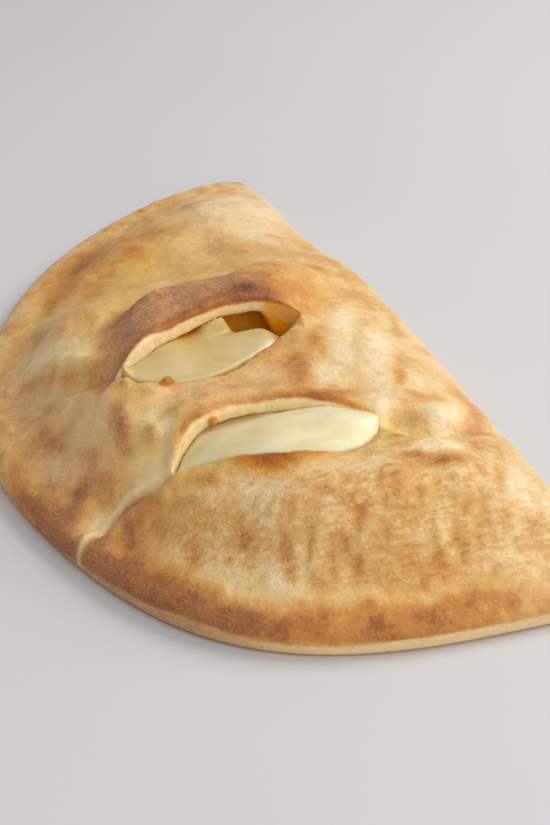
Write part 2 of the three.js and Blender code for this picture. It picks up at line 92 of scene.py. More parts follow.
# The open vents: ends y0 and y1, chord from x0 to x1, and each edge's bulge, skew and roundness.
MIDDLE_VENT = dict(y0=-33.5, y1=30.2, x0=31.5, x1=21.7, far=(-10.7, 0.5, 0.6), near=(11.3, -0.62, 0.91),
                   ridge=10.0, ridge_top=19.5, ridge_skew=-8.0, ridge_fall=14.0, ridge_widen=16.0,
                   ridge_on=0.9)
FRONT_VENT = dict(y0=-32.9, y1=30.2, x0=79.0, x1=85.0, far=(-15.4, -0.16, 0.76), near=(10.6, 0.89, 0.7),
                  ridge=4.0, ridge_top=6.0, ridge_skew=0.0, ridge_fall=18.0, ridge_widen=0.0, ridge_on=0.0)
RIDGE_DROP = (0.5, 8.0)
RIDGE_ENDS = (1.3, 0.55)  # shares of a vent's half-length where its ridge has gone and where it is full
RIDGE_TAPER = 0.012  # less of that share for each millimetre behind the lip
RIDGE_WIDENS = (0.4, 1.1)
RIDGE_ON_REACH = 26.0
RIDGE_SOFTENED = (-5, -3, -1, 1, 3, 5)  # along Y, where the lip is read for a ridge without a sharp end
BLUNT_END = 0.8
VENT_FLOOR = 14.0

# Spots on the top: centre, half-widths along X and Y before the turn in degrees, and the height or amount.
SWELLS = [
    (-56, 6, 15, 26, 6, -7), (50, -40, 19, 14, 0, 4), (-32, -42, 22, 13, 10, 2), (112, -6, 13, 34, -8, 2),
    (45, 44, 20, 14, 0, 2), (6, 3, 9, 5.5, 0, 1.4), (13, 29, 9, 6, 0, 2), (79.5, 33.8, 3.6, 4, 0, 2.8),
    (91, 49.5, 4.4, 4.2, 15, 4), (92, -7, 3, 11, -21, 1.8),
    (51, -42, 4.5, 4.5, 0, 1.4), (32, -59, 5, 4, 0, 1.3), (61, -56, 5, 4, 0, 1.2), (65, -37, 4, 4, 0, 1),
    (-84, 2, 5, 7, 0, 1.2), (-94, -12, 5, 6, 0, 1),
]

# Creases: places to pass, depth, half-widths of the gentle and the steep side, and the roll over the steep
# side, which is on the path's left where steep_on is 1 and on its right where it is -1.
REAR_CREASE = dict(path=[(30, -34.5), (23.5, -40), (19, -45), (12, -50), (3, -55), (-6, -61)],
                   deep=4.0, gentle=5.6, steep=2.6, roll=2.4, steep_on=-1)
SIDE_CREASE = dict(path=[(78, -33), (75.5, -39.5), (72, -46.5), (72, -52.5), (76, -58.5), (81, -65)],
                   deep=4.2, gentle=6.2, steep=2.6, roll=2.0, steep_on=1)
FOLD_CREASE = dict(path=[(83.5, 30), (88.5, 34), (94.5, 37.5), (97.5, 43), (95.5, 50.5), (90, 59.5),
                         (86, 67), (84.5, 73)],
                   deep=3.4, gentle=3.4, steep=2.6, roll=0.7, steep_on=-1)
CREASES = [REAR_CREASE, SIDE_CREASE, FOLD_CREASE]

# The cheese, by the same names as in the model's source.
MIDDLE_CHEESE = dict(below=0.4, climb=1.2, sag=5.0, sag_over=(17, 28), behind=(17, 8),
                     heap_y=-16.0, heap_half=5.0, heap_up=2.6,
                     cave_y=16.5, cave_level=5.0, cave_fade=3.4, cave_deep=7.0, cave_over=(6, -3),
                     strand_y=4.0, strand_flat=1.5, strand_half=3.0, strand_up=6.5, strand_over=(4, -1))
FRONT_CHEESE = dict(below_far=6.8, end_less=5.6, end_over=(-14, 30), below_near=0.8, swell=3.2,
                    end_more=0.4, behind=(9, 3))
OPEN_PAST = (2, 8)
OPEN_ENDS = 6.0

# Browned cheese on the lips: place, radius, and height over the top or below it.
BEADS = [(42.2, -22.2, 2.2, 0.4), (67.7, -16.3, 1.5, -3.8)]

# ======== fineness and relief, millimetres

CELL = 0.85  # of the grid that the skins are meshed on
LIP_ROUNDING = 2.8
CUT_ROUNDING = 1.4
LIP_UNEVEN = 0.35
BLISTER_COUNT = 900
BLISTER_SIZES = (0.6, 1.4, 1.6)  # smallest and largest radius, and what the big ones have over it
BLISTER_UP = (0.1, 0.22)  # shares of the radius
CHEESE_OVERLAP = 0.1  # how far the cheese presses into the sides of a vent
POCKET_GAP = -0.4  # the same where it meets the dough inside

CAMERA_TARGET = (18.11, 22.52, 0.0)
CAMERA_AZIMUTH = 69.15  # degrees: 0 looks along +Y, 90 along -X
CAMERA_ELEVATION = 32.14
CAMERA_ROLL = -1.49
CAMERA_DISTANCE = 552.3
CAMERA_LENS = 70.0
CAMERA_FILM = 36.0  # the picture's long side


# ======== small formulas

def smooth(low, high, v):
    t = np.clip((v - low) / (high - low), 0, 1)
    return t * t * (3 - 2 * t)


def bell(v):
    return np.exp(-v * v / 2)


def soft_min(a, b, reach):
    return np.minimum(a, b) - np.maximum(reach - np.abs(a - b), 0) ** 2 / (4 * reach)


def soft_max(a, b, reach):
    return -soft_min(-a, -b, reach)


def turned(x, y, at_x, at_y, degrees):
    """x and y from a place, along and across a direction."""
    a = math.radians(degrees)
    dx, dy = x - at_x, y - at_y
    return dx * math.cos(a) + dy * math.sin(a), dy * math.cos(a) - dx * math.sin(a)


def patches(places, x, y):
    """Soft spots added up: centre, half-widths along and across, turn in degrees, amount in the middle."""
    total = 0
    for at_x, at_y, long, wide, turn, amount in places:
        along, across = turned(x, y, at_x, at_y, turn)
        total = total + amount * bell(along / long) * bell(across / wide)
    return total


def nearest_on_path(path, x, y):
    """How far off a path is, how far along it from 0 to 1, and on which side: positive on its left."""
    gap = np.full(np.shape(x), 1e9)
    at = np.zeros(np.shape(x))
    side = np.ones(np.shape(x))
    for i, ((ax, ay), (bx, by)) in enumerate(zip(path, path[1:])):
        dx, dy = bx - ax, by - ay
        t = np.clip(((x - ax) * dx + (y - ay) * dy) / (dx * dx + dy * dy), 0, 1)
        away = np.hypot(x - ax - t * dx, y - ay - t * dy)
        closer = away < gap
        gap = np.where(closer, away, gap)
        at = np.where(closer, (i + t) / (len(path) - 1), at)
        side = np.where(closer, np.sign(dx * (y - ay) - dy * (x - ax)), side)
    return gap, at, side


def lattice_angle(ix, iy, seed):
    """A fixed chance direction for each point of a lattice."""
    h = (ix * 374761393 + iy * 668265263 + seed * 974634777) & 0xFFFFFFFF
    h = ((h ^ (h >> 13)) * 1274126177) & 0xFFFFFFFF
    return ((h ^ (h >> 16)) & 0xFFFF) / 0x10000 * 2 * math.pi


def noise(x, y, seed):
    """Gradient noise, about -1 to 1, with one lump per unit."""
    ix, iy = np.floor(x).astype(np.int64), np.floor(y).astype(np.int64)
    fx, fy = x - ix, y - iy
    u = fx ** 3 * (fx * (fx * 6 - 15) + 10)
    v = fy ** 3 * (fy * (fy * 6 - 15) + 10)

    def corner(cx, cy):
        angle = lattice_angle(ix + cx, iy + cy, seed)
        return np.cos(angle) * (fx - cx) + np.sin(angle) * (fy - cy)

    low = corner(0, 0) + u * (corner(1, 0) - corner(0, 0))
    high = corner(0, 1) + u * (corner(1, 1) - corner(0, 1))
    return 1.5 * (low + v * (high - low))


def camera_axes():
    """The camera's right, its up and the way it looks."""
    azimuth, elevation, roll = np.radians((CAMERA_AZIMUTH, CAMERA_ELEVATION, CAMERA_ROLL))
    right = np.array([math.cos(azimuth), math.sin(azimuth), 0])
    look = np.array([-math.sin(azimuth) * math.cos(elevation), math.cos(azimuth) * math.cos(elevation),
                     -math.sin(elevation)])
    up = np.cross(right, look)
    return right * math.cos(roll) + up * math.sin(roll), up * math.cos(roll) - right * math.sin(roll), look


# ======== outline and vents

def edge_distances(x, y):
    """How far inside the curved edge and inside the fold a point lies."""
    dx, dy = x - ARC_CENTRE[0], ARC_CENTRE[1] - y
    angle = np.degrees(np.arctan2(dx, dy))
    radius = ARC_RADIUS + sum(out * bell((angle - at) / spread) for at, out, spread in ARC_SWELLS)
    fold_y = FOLD_Y + sum(out * bell((x - at) / spread) for at, out, spread in FOLD_SWELLS)
    return radius - np.hypot(dx, dy), fold_y - y


def inside(x, y):
    curve, fold = edge_distances(x, y)
    return soft_min(curve, fold, CORNER)


def vent_at(vent, y):
    """Place along a vent, from -1 to 1, and the x of its far and near edges."""
    t = (2 * y - vent["y0"] - vent["y1"]) / (vent["y1"] - vent["y0"])
    chord = vent["x0"] + (vent["x1"] - vent["x0"]) * (t + 1) / 2
    bow = np.maximum(1 - t * t, 0)
    far, near = (chord + bulge * (1 + skew * t) * bow ** rounding
                 for bulge, skew, rounding in (vent["far"], vent["near"]))
    return t, far, near


def vent_within(vent, y):
    return vent_at(vent, np.clip(y, vent["y0"], vent["y1"]))


def vent_middle(vent, y):
    """The x midway between a vent's edges and half the width there, which stays open at the ends."""
    _, far, near = vent_within(vent, y)
    return (far + near) / 2, np.maximum((near - far) / 2, BLUNT_END)


def vent_outline(vent, steps=200):
    """The vent's eye shape as a closed run of points."""
    middle, half = (vent["y0"] + vent["y1"]) / 2, (vent["y1"] - vent["y0"]) / 2
    y = middle - half * np.cos(np.linspace(0, math.pi, steps))
    centre, width = vent_middle(vent, y)
    points = [*zip(centre + width, y), *zip((centre - width)[::-1], y[::-1])]
    return points[-1:] + points


def vent_distance(vent, x, y, reach=12.0):
    """Distance to a vent's outline, negative inside it; beyond reach it stays at reach."""
    outline = vent_outline(vent)
    (x0, y0), (x1, y1) = np.min(outline, 0) - reach, np.max(outline, 0) + reach
    result = np.full(np.shape(x), reach)
    close = (x > x0) & (x < x1) & (y > y0) & (y < y1)
    px, py = x[close], y[close]
    best = nearest_on_path(outline, px, py)[0]
    centre, width = vent_middle(vent, py)
    within = (np.abs(px - centre) < width) & (py > vent["y0"]) & (py < vent["y1"])
    uneven = LIP_UNEVEN * noise(px / 4.5, py / 4.5, 71)
    result[close] = np.where(within, uneven - best, np.minimum(best + uneven, reach))
    return result


def ridge_height(vent, x, y):
    """The lip behind a vent stands up in a ridge and falls away behind."""
    t, far, _ = vent_at(vent, y)
    behind = sum(vent_at(vent, y + step)[1] for step in RIDGE_SOFTENED) / len(RIDGE_SOFTENED) - x
    level = vent["ridge_top"] + vent["ridge_skew"] * np.clip(t, -1, 1)
    level = level + vent["ridge_widen"] * smooth(*RIDGE_WIDENS, t)
    across = 1 - smooth(level, level + vent["ridge_fall"], behind)
    run_on = np.where(t > 0, vent["ridge_on"] * smooth(0, RIDGE_ON_REACH, behind), 0)
    gone, full = RIDGE_ENDS
    along = smooth(gone + run_on, full + run_on, np.abs(t) + RIDGE_TAPER * np.maximum(behind, 0))
    return vent["ridge"] * across * along * (1 - smooth(*RIDGE_DROP, x - far))


# ======== heights, as in the model's source

def crease_depth(crease, x, y):
    gap, at, side = nearest_on_path(crease["path"], x, y)
    on_steep = side * crease["steep_on"] > 0
    steep = crease["steep"]
    dip = crease["deep"] * bell(gap / np.where(on_steep, steep, crease["gentle"]))
    roll = np.where(on_steep, crease["roll"] * bell((gap - 2.4 * steep) / (1.1 * steep)), 0)
    return (dip - roll) * smooth(-0.02, 0.1, at) * (1 - 0.55 * smooth(0.7, 1, at))


def lumps(x, y):
    return (0.55 * np.sin(x / 9.3 + 1.6 * np.sin(y / 17)) * np.sin(y / 8.1 + 1.2 * np.sin(x / 21))
            + 0.45 * np.sin((x + y) / 6.4 + 2) * np.sin((x - 1.4 * y) / 7.7))


def plain_top(x, y):
    """The top without its creases, as if the edge stood up square."""
    curve, fold = edge_distances(x, y)
    rear = smooth(*REAR_FROM, x)
    reach = DOME_REACH + (REAR_REACH - DOME_REACH) * rear
    past = -soft_min(RIM_WIDTH - curve, 0 * curve, BEND)
    rise = 1 - np.maximum(1 - past / reach, 0) ** RISE_POWER
    share = FOLD_SHARE + (END_FOLD_SHARE - FOLD_SHARE) * np.maximum(rear, smooth(*END_FROM, x))
    fold_side = share + (1 - share) * smooth(-4, FOLD_REACH, fold)
    filled = smooth(RIM_WIDTH, RIM_WIDTH + FILLED_REACH, curve) * smooth(0, FILLED_REACH, fold)
    z = RIM_THICKNESS + RIM_CROWN * bell((curve - 0.6 * RIM_WIDTH) / 4)
    z = z + (DOME_HEIGHT - REAR_DROP * rear - RIM_THICKNESS) * rise * fold_side
    z = z + filled * patches(SWELLS, x, y)
    return z + filled * sum(ridge_height(vent, x, y) for vent in (MIDDLE_VENT, FRONT_VENT))


def smooth_top(x, y):
    """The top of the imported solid."""
    curve, _ = edge_distances(x, y)
    z = plain_top(x, y) + lumps(x, y) * smooth(4, 30, curve)
    return z - sum(crease_depth(crease, x, y) for crease in CREASES) * smooth(2, 14, curve)


# ======== fine relief of the crust

def front_slope(x, y):
    """Where the front lobe runs down to its rim."""
    curve, _ = edge_distances(x, y)
    return smooth(98, 118, x) * smooth(12, 20, curve) * (1 - smooth(36, 50, curve))


def radial_streaks(x, y):
    """Short dimples that run down the front lobe towards the rim."""
    dx, dy = x - ARC_CENTRE[0], y - ARC_CENTRE[1]
    around = np.arctan2(dx, -dy) * ARC_RADIUS
    along = np.hypot(dx, dy)
    wander = 0.9 * noise(around / 19, along / 19, 31)
    wide = noise(around / 5.5 + wander, along / 15, 32)
    return np.minimum(wide, 0.25) + 0.45 * noise(around / 2.8 + wander, along / 8, 33)


def stretch_lines(x, y):
    """Fine lines drawn in the skin across the top of the front lobe."""
    bend = 5 * noise(x / 40, y / 28, 41)
    return noise((x + bend) / 1.9, y / 22, 42) + 0.6 * noise((x + bend) / 3.4, y / 30, 43)


def stretched_skin(x, y):
    return bell((x - 108 + 0.12 * y) / 8) * smooth(-52, -30, y) * (1 - smooth(56, 72, y))


def side_lobe(x, y):
    """The lobe between the rear and the side crease."""
    return bell((x - 42) / 36) * bell((y + 52) / 15)


def scattered_blisters():
    """Small blisters: place, radius, height. Bigger and closer on the side lobe and the rim."""
    rng = np.random.default_rng(12)
    found = []
    smallest, largest, more = BLISTER_SIZES
    while len(found) < BLISTER_COUNT:
        x, y = rng.uniform(-150, 152), rng.uniform(-76, 74)
        curve, fold = edge_distances(np.array([x]), np.array([y]))
        if min(curve[0], fold[0]) < 2:
            continue
        rim = 1 - smooth(6, 14, curve[0])
        closed_vent = bell((x + 50) / 30) * bell((y - 5) / 24)
        likely = 0.3 + 0.7 * max(side_lobe(x, y), rim) - 0.25 * closed_vent
        radius = rng.uniform(smallest, largest) + more * rng.random() ** 5
        if rng.random() < likely:
            found.append((x, y, radius, radius * rng.uniform(*BLISTER_UP)))
    return found


def blister_height(x, y):
    """Height of the blisters, added up only near each of them."""
    z = np.zeros(np.shape(x))
    for at_x, at_y, radius, up in BLISTERS:
        close = (np.abs(x - at_x) < 3 * radius) & (np.abs(y - at_y) < 3 * radius)
        distance = np.hypot(x[close] - at_x, y[close] - at_y)
        z[close] += up * bell(distance / radius * 1.3)
    return z


BLISTERS = scattered_blisters()


def crease_line(crease, x, y):
    """How near a point is to the fine line at the bottom of a crease: 1 on it."""
    wander = 1.4 * noise(x / 7, y / 7, 61) + 0.5 * noise(x / 2.6, y / 2.6, 62)
    gap, at, side = nearest_on_path(crease["path"], x, y)
    off = gap * side * crease["steep_on"] - 0.6 + wander
    return bell(off / 0.75) * smooth(0.05, 0.25, at) * (1 - smooth(0.75, 1, at))


def relief(x, y):
    """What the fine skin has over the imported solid's top."""
    curve, fold = edge_distances(x, y)
    from_edge = np.minimum(curve, fold)
    calm = 1 - 0.6 * bell((x + 50) / 26) * bell((y - 5) / 20)
    z = 0.5 * noise(x / 15, y / 15, 1) * calm
    z = z + (0.34 + 0.25 * side_lobe(x, y)) * noise(x / 6.5, y / 6.5, 2) * calm
    z = z + 0.2 * noise(x / 2.9, y / 2.9, 3)
    z = z + 0.75 * radial_streaks(x, y) * front_slope(x, y)
    z = z + 0.16 * stretch_lines(x, y) * stretched_skin(x, y)
    z = z - 1.6 * bell((x - 33.5) / 3) * bell((y + 34.5) / 3) + 1.2 * crease_sides(SIDE_CREASE, x, y)[0]
    lines = crease_line(REAR_CREASE, x, y) + crease_line(SIDE_CREASE, x, y)
    z = z - 1.3 * lines * smooth(4, 12, curve)
    return z * smooth(0, 5, from_edge) + blister_height(x, y) * smooth(1, 4, from_edge)


def full_top(x, y):
    return smooth_top(x, y) + relief(x, y)


# ======== the cheese's hollow and its free surface

def inside_pocket(x, y):
    curve, fold = edge_distances(x, y)
    return soft_min(curve - SEAL, fold - FOLD_WALL, POCKET_CORNER)


def ceiling(x, y):
    more, reach = CREASE_SPARE
    spare = 0
    for crease in CREASES:
        spare = np.maximum(spare, more * bell(nearest_on_path(crease["path"], x, y)[0] / reach))
    t, far, _ = vent_at(MIDDLE_VENT, y)
    lip = FAT_LIP["more"] * bell((far - x) / FAT_LIP["reach"]) * smooth(*FAT_LIP["ends"], np.abs(t))
    wall = END_WALL["deep"] * smooth(*END_WALL["y"], y) * bell((x - END_WALL["x"]) / END_WALL["reach"])
    return plain_top(x, y) - CRUST - spare - lip - wall


def middle_cheese(x, y, far, near):
    """Level with the near lip, apart from its climb, the cave under the far lip and the strand."""
    c = MIDDLE_CHEESE
    lip_y = np.clip(y, MIDDLE_VENT["y0"], c["cave_y"] / 2)
    lip = plain_top(vent_at(MIDDLE_VENT, lip_y)[2] + 1, lip_y) - c["below"]
    across = smooth(near, np.minimum(far, near - 0.01), x)
    climbed = (c["climb"] + c["heap_up"] * bell((y - c["heap_y"]) / c["heap_half"])) * across
    from_cave = np.maximum(np.abs(y - c["cave_y"]) - c["cave_level"], 0)
    sunk = c["cave_deep"] * bell(from_cave / c["cave_fade"]) * smooth(*c["cave_over"], x - far)
    from_strand = np.maximum(np.abs(y - c["strand_y"]) - c["strand_flat"], 0)
    stuck = c["strand_up"] * bell(from_strand / c["strand_half"]) * smooth(*c["strand_over"], x - far)
    return lip + climbed - sunk - c["sag"] * smooth(*c["sag_over"], y) + stuck


def front_cheese(x, y, t, far, near):
    """Swollen out of the opening."""
    c = FRONT_CHEESE
    over = np.clip((x - far) / np.maximum(near - far, 1), 0, 1)
    far_level = plain_top(far - 1, y) - c["below_far"] + c["end_less"] * smooth(*c["end_over"], y)
    near_level = plain_top(near + 1, y) - c["below_near"]
    swollen = c["swell"] * np.sin(math.pi * over) * np.sqrt(np.maximum(1 - t ** 2, 0))
    return far_level + (near_level - far_level) * over + swollen * (1 + c["end_more"] * t)


def openness(vent, far, near, behind, x, y):
    """1 where the cheese has a free surface at a vent, fading to 0 around it."""
    across = smooth(*behind, far - x) * (1 - smooth(*OPEN_PAST, x - near))
    return across * (1 - smooth(0, OPEN_ENDS, np.maximum(vent["y0"] - y, y - vent["y1"])))


def cheese_top(x, y):
    hidden = plain_top(x, y) - CRUST / 2
    _, middle_far, middle_near = vent_within(MIDDLE_VENT, y)
    front_t, front_far, front_near = vent_within(FRONT_VENT, y)
    open_middle = openness(MIDDLE_VENT, middle_far, middle_near, MIDDLE_CHEESE["behind"], x, y)
    open_front = openness(FRONT_VENT, front_far, front_near, FRONT_CHEESE["behind"], x, y)
    rear = hidden + (middle_cheese(x, y, middle_far, middle_near) - hidden) * open_middle
    return rear + (front_cheese(x, y, front_t, front_far, front_near) - rear) * open_front


# ======== solids as fields: negative inside, in millimetres

def rounded(a, b):
    return (np.maximum(a, 0) ** SQUARENESS + np.maximum(b, 0) ** SQUARENESS) ** (1 / SQUARENESS)


def shell_field(x, y, z):
    """The whole outside of the calzone."""
    full, depth = full_top(x, y), inside(x, y)
    waist = EDGE_WAIST * full
    above = (rounded(1 - depth / (EDGE_ABOVE * full), (z - waist) / (full - waist)) - 1) * (full - waist)
    below = (rounded(1 - depth / (EDGE_BELOW * full), (waist - z) / waist) - 1) * waist
    return np.where(z > waist, above, below)


def pocket_field(x, y, z, shrink):
    low, high = FLOOR + shrink, ceiling(x, y) - shrink
    waist, half = (low + high) / 2, np.maximum((high - low) / 2, 1)
    depth = inside_pocket(x, y) - shrink
    return (rounded(1 - depth / POCKET_EDGE, np.abs(z - waist) / half) - 1) * half


def vent_field(vent, x, y, z):
    return np.maximum(vent_distance(vent, x, y), VENT_FLOOR - z)


def bead_field(bead, x, y, z):
    at_x, at_y, radius, over = bead
    at_z = float(smooth_top(np.array([at_x]), np.array([at_y]))[0]) + over
    return np.sqrt((x - at_x) ** 2 + (y - at_y) ** 2 + (z - at_z) ** 2) - radius


def dough_field(x, y, z):
    field = soft_max(shell_field(x, y, z), -pocket_field(x, y, z, 0), CUT_ROUNDING)
    for vent in (MIDDLE_VENT, FRONT_VENT):
        field = soft_max(field, -vent_field(vent, x, y, z), LIP_ROUNDING)
    for bead in BEADS:
        field = soft_min(field, bead_field(bead, x, y, z), CUT_ROUNDING)
    return field


def cheese_field(x, y, z):
    field = pocket_field(x, y, z, POCKET_GAP)
    for vent in (MIDDLE_VENT, FRONT_VENT):
        field = np.minimum(field, vent_field(vent, x, y, z) - CHEESE_OVERLAP)
    return np.maximum(field, z - cheese_top(x, y))


# ======== meshing

def grid_axes(low, high):
    return [np.arange(a - 3 * CELL, b + 3 * CELL, CELL) for a, b in zip(low, high)]


def sampled(field, axes, points):
    """The field at any points, straight between the grid's."""
    place = [(points[:, k] - axes[k][0]) / CELL for k in range(3)]
    corner = [np.clip(np.floor(p).astype(int), 0, len(axis) - 2) for p, axis in zip(place, axes)]
    part = [p - c for p, c in zip(place, corner)]
    total = 0
    for steps in np.ndindex(2, 2, 2):
        a, b, c = (share if step else 1 - share for share, step in zip(part, steps))
        total = total + a * b * c * field[tuple(at + step for at, step in zip(corner, steps))]
    return total


def surface_net(field, axes):
    """A closed mesh of quads where the field is 0: one point in each grid cell that the surface passes."""
    cells = tuple(n - 1 for n in field.shape)
    within = field < 0
    sums = np.zeros((4, np.prod(cells)))
    edges = []
    for axis, step in enumerate(np.eye(3, dtype=int)):
        crossed = np.argwhere(np.diff(within, axis=axis))
        a, b = field[tuple(crossed.T)], field[tuple((crossed + step).T)]
        point = crossed + step * (a / (a - b))[:, None]
        u, v = np.delete(np.eye(3, dtype=int), axis, 0)
        around = [np.ravel_multi_index((crossed - back).T, cells) for back in (0 * u, u, u + v, v)]
        for cell in around:
            sums[0] += np.bincount(cell, minlength=sums.shape[1])
            for k in range(3):
                sums[k + 1] += np.bincount(cell, point[:, k], sums.shape[1])
        quads = np.stack(around, 1)
        turned_over = (a < 0) if axis != 1 else (a > 0)
        quads[turned_over] = quads[turned_over][:, ::-1]
        edges.append(quads)
    used = np.flatnonzero(sums[0])
    number = np.zeros(sums.shape[1], int)
    number[used] = np.arange(len(used))
    points = (sums[1:, used] / sums[0, used]).T * CELL + [axis[0] for axis in axes]
    return points, number[np.concatenate(edges)][:, ::-1]


def settled(points, quads, field, axes, rounds=3):
    """The mesh evened out, with its points kept on the surface."""
    for _ in range(rounds):
        total, count = np.zeros_like(points), np.zeros(len(points))
        for k in range(4):
            for neighbour in (quads[:, (k + 1) % 4], quads[:, k - 1]):
                count += np.bincount(quads[:, k], minlength=len(points))
                for axis in range(3):
                    total[:, axis] += np.bincount(quads[:, k], points[neighbour, axis], len(points))
        points = points + 0.5 * (total / count[:, None] - points)
        for _ in range(2):
            here = sampled(field, axes, points)
            slope = np.stack([(sampled(field, axes, points + step) - here) / (0.4 * CELL)
                              for step in np.eye(3) * 0.4 * CELL], 1)
            move = here[:, None] * slope / np.maximum((slope ** 2).sum(1), 0.05)[:, None]
            points = points - np.clip(move, -0.5 * CELL, 0.5 * CELL)
    return points


def mesh_piece(name, field_of, low, high, hidden_of, keep):
    """A piece meshed from a field, its hidden parts thinned out until that share of its faces is left."""
    axes = grid_axes(low, high)
    x, y = np.meshgrid(axes[0], axes[1], indexing="ij")
    field = field_of(x[..., None], y[..., None], axes[2][None, None, :]).astype(np.float32)
    points, quads = surface_net(field, axes)
    points = settled(points, quads, field, axes)
    mesh = bpy.data.meshes.new(name)
    mesh.from_pydata((points * 0.001).tolist(), [], quads.tolist())
    piece = bpy.data.objects.new(name, mesh)
    bpy.context.scene.collection.objects.link(piece)
    group = piece.vertex_groups.new(name="hidden")
    hidden = hidden_of(points)
    for level, chosen in ((0.0, ~hidden), (1.0, hidden)):
        group.add(np.flatnonzero(chosen).tolist(), level, "REPLACE")
    thin = piece.modifiers.new("thin", "DECIMATE")
    thin.ratio = keep
    thin.vertex_group = group.name
    thin.vertex_group_factor = 5.0
    done = bpy.data.meshes.new_from_object(piece.evaluated_get(bpy.context.evaluated_depsgraph_get()))
    piece.modifiers.remove(thin)
    piece.vertex_groups.remove(group)
    piece.data = done
    bpy.data.meshes.remove(mesh)
    done.name = name
    done.shade_smooth()
    return piece


def points_of(piece):
    co = np.empty(len(piece.data.vertices) * 3, np.float32)
    piece.data.vertices.foreach_get("co", co)
    return co.reshape(-1, 3).astype(float) * 1000


def set_field(piece, name, values):
    """A value at each point, for the material to read."""
    layer = piece.data.attributes.new(name, "FLOAT", "POINT")
    layer.data.foreach_set("value", np.clip(values, 0, 1).astype(np.float32))


def seen_through_vents(x, y, z, reach):
    near = np.minimum(vent_distance(MIDDLE_VENT, x, y), vent_distance(FRONT_VENT, x, y)) < reach
    return near & (z > VENT_FLOOR + 4)


def hidden_dough(points):
    x, y, z = points.T
    underneath = (z < 2) & (inside(x, y) > 4)
    in_pocket = (inside(x, y) > 8) & (z < smooth_top(x, y) - 3)
    return underneath | (in_pocket & ~seen_through_vents(x, y, z, 8))


def hidden_cheese(points):
    return ~seen_through_vents(*points.T, 9)


# ======== browning, flour and glaze over the crust, with painted light and shade

# Spots read off the photograph, in its pixels: how far across and down, half-widths along and
# across, turn in degrees, and how much browner or, in the second list, paler the middle is.
# Besides the crust's own browning, some brown spots are painted shade at the bottoms of the creases.
BROWN_AND_SHADE_SEEN = [
    (133, 249, 13, 6, 0, 0.34), (86, 262, 20, 7, 32, 0.44), (66, 288, 16, 7, 52, 0.24),
    (49, 308, 15, 6, 66, 0.24), (38, 338, 11, 6, 60, 0.24), (150, 234, 34, 4, 12, 0.2),
    (226, 250, 28, 8, 2, 0.26), (95, 292, 22, 10, 30, 0.08), (60, 377, 24, 5, 6, 0.26),
    (68, 380, 9, 3, 5, 0.24), (28, 387, 14, 3, 30, 0.2), (119, 420, 17, 10, 100, 0.44),
    (121, 428, 9, 6, 100, 0.16), (151, 441, 9, 6, 90, 0.3), (90, 455, 9, 6, -20, 0.26),
    (128, 453, 10, 6, -35, 0.16), (50, 443, 14, 9, 120, 0.4), (48, 409, 7, 5, 0, 0.26),
    (34, 420, 8, 4, 0, 0.14), (82, 492, 17, 10, 10, 0.36), (105, 480, 11, 5, -10, 0.18),
    (105, 503, 8, 7, 0, 0.18), (27, 498, 12, 6, -55, 0.3), (42, 512, 12, 8, -50, 0.36),
    (56, 530, 14, 8, -48, 0.36), (72, 546, 13, 6, -45, 0.3), (14, 474, 12, 6, -70, 0.2),
    (132, 504, 20, 6, 26, 0.3), (155, 503, 24, 9, 6, 0.2), (130, 533, 7, 10, 0, 0.28),
    (190, 502, 12, 5, 0, 0.22), (208, 479, 13, 5, -4, 0.24), (195, 556, 7, 13, 0, 0.34),
    (203, 520, 16, 12, 0, 0.14), (168, 530, 15, 7, -12, 0.14), (247, 538, 8, 11, 0, 0.32),
    (287, 545, 5, 16, 8, 0.26), (291, 572, 5, 15, 4, 0.28), (345, 541, 6, 12, 0, 0.18),
    (387, 532, 7, 17, -25, 0.18), (322, 578, 5, 8, 0, 0.14), (425, 585, 6, 9, 10, 0.24),
    (408, 568, 5, 12, 0, 0.14), (441, 563, 9, 14, 0, 0.12), (466, 553, 7, 12, 0, 0.12),
    (505, 523, 6, 7, 0, 0.2), (520, 545, 26, 9, 0, 0.1), (360, 508, 9, 6, -30, 0.2),
    (325, 489, 17, 5, -8, 0.2), (290, 512, 12, 5, 0, 0.16), (268, 548, 6, 10, 0, 0.12),
    (228, 560, 8, 10, 0, 0.1), (365, 565, 8, 10, 0, 0.1), (513, 602, 7, 7, 0, 0.3),
    (495, 596, 18, 8, 10, 0.14), (165, 596, 22, 9, -22, 0.14), (230, 612, 30, 8, -14, 0.2),
    (300, 624, 22, 6, -8, 0.12), (296, 362, 14, 14, 0, 0.4), (300, 382, 12, 9, 0, 0.24),
    (315, 338, 9, 8, 0, 0.3), (324, 353, 5, 10, 0, 0.2), (298, 289, 24, 9, 0, 0.18),
    (402, 362, 8, 9, 0, 0.24), (400, 378, 5, 5, 0, 0.3), (394, 325, 5, 14, 15, 0.2),
    (366, 322, 9, 5, 0, 0.14), (340, 334, 7, 10, 0, 0.12), (372, 305, 8, 6, 0, 0.12),
    (424, 398, 14, 5, 0, 0.2), (456, 392, 10, 6, -40, 0.24), (474, 408, 14, 6, -48, 0.3),
    (468, 434, 17, 6, 4, 0.42), (480, 444, 11, 6, -10, 0.34), (447, 458, 17, 5, 0, 0.5),
    (414, 456, 15, 7, 0, 0.28), (402, 470, 12, 5, 0, 0.18), (503, 460, 9, 14, 0, 0.18),
    (146, 391, 6, 4, 0, 0.3), (104, 391, 15, 7, -25, 0.14), (188, 419, 22, 9, 36, 0.2),
    (262, 354, 28, 6, 28, 0.14), (330, 393, 30, 4, 2, 0.3), (345, 298, 14, 6, 0, 0.12),
]
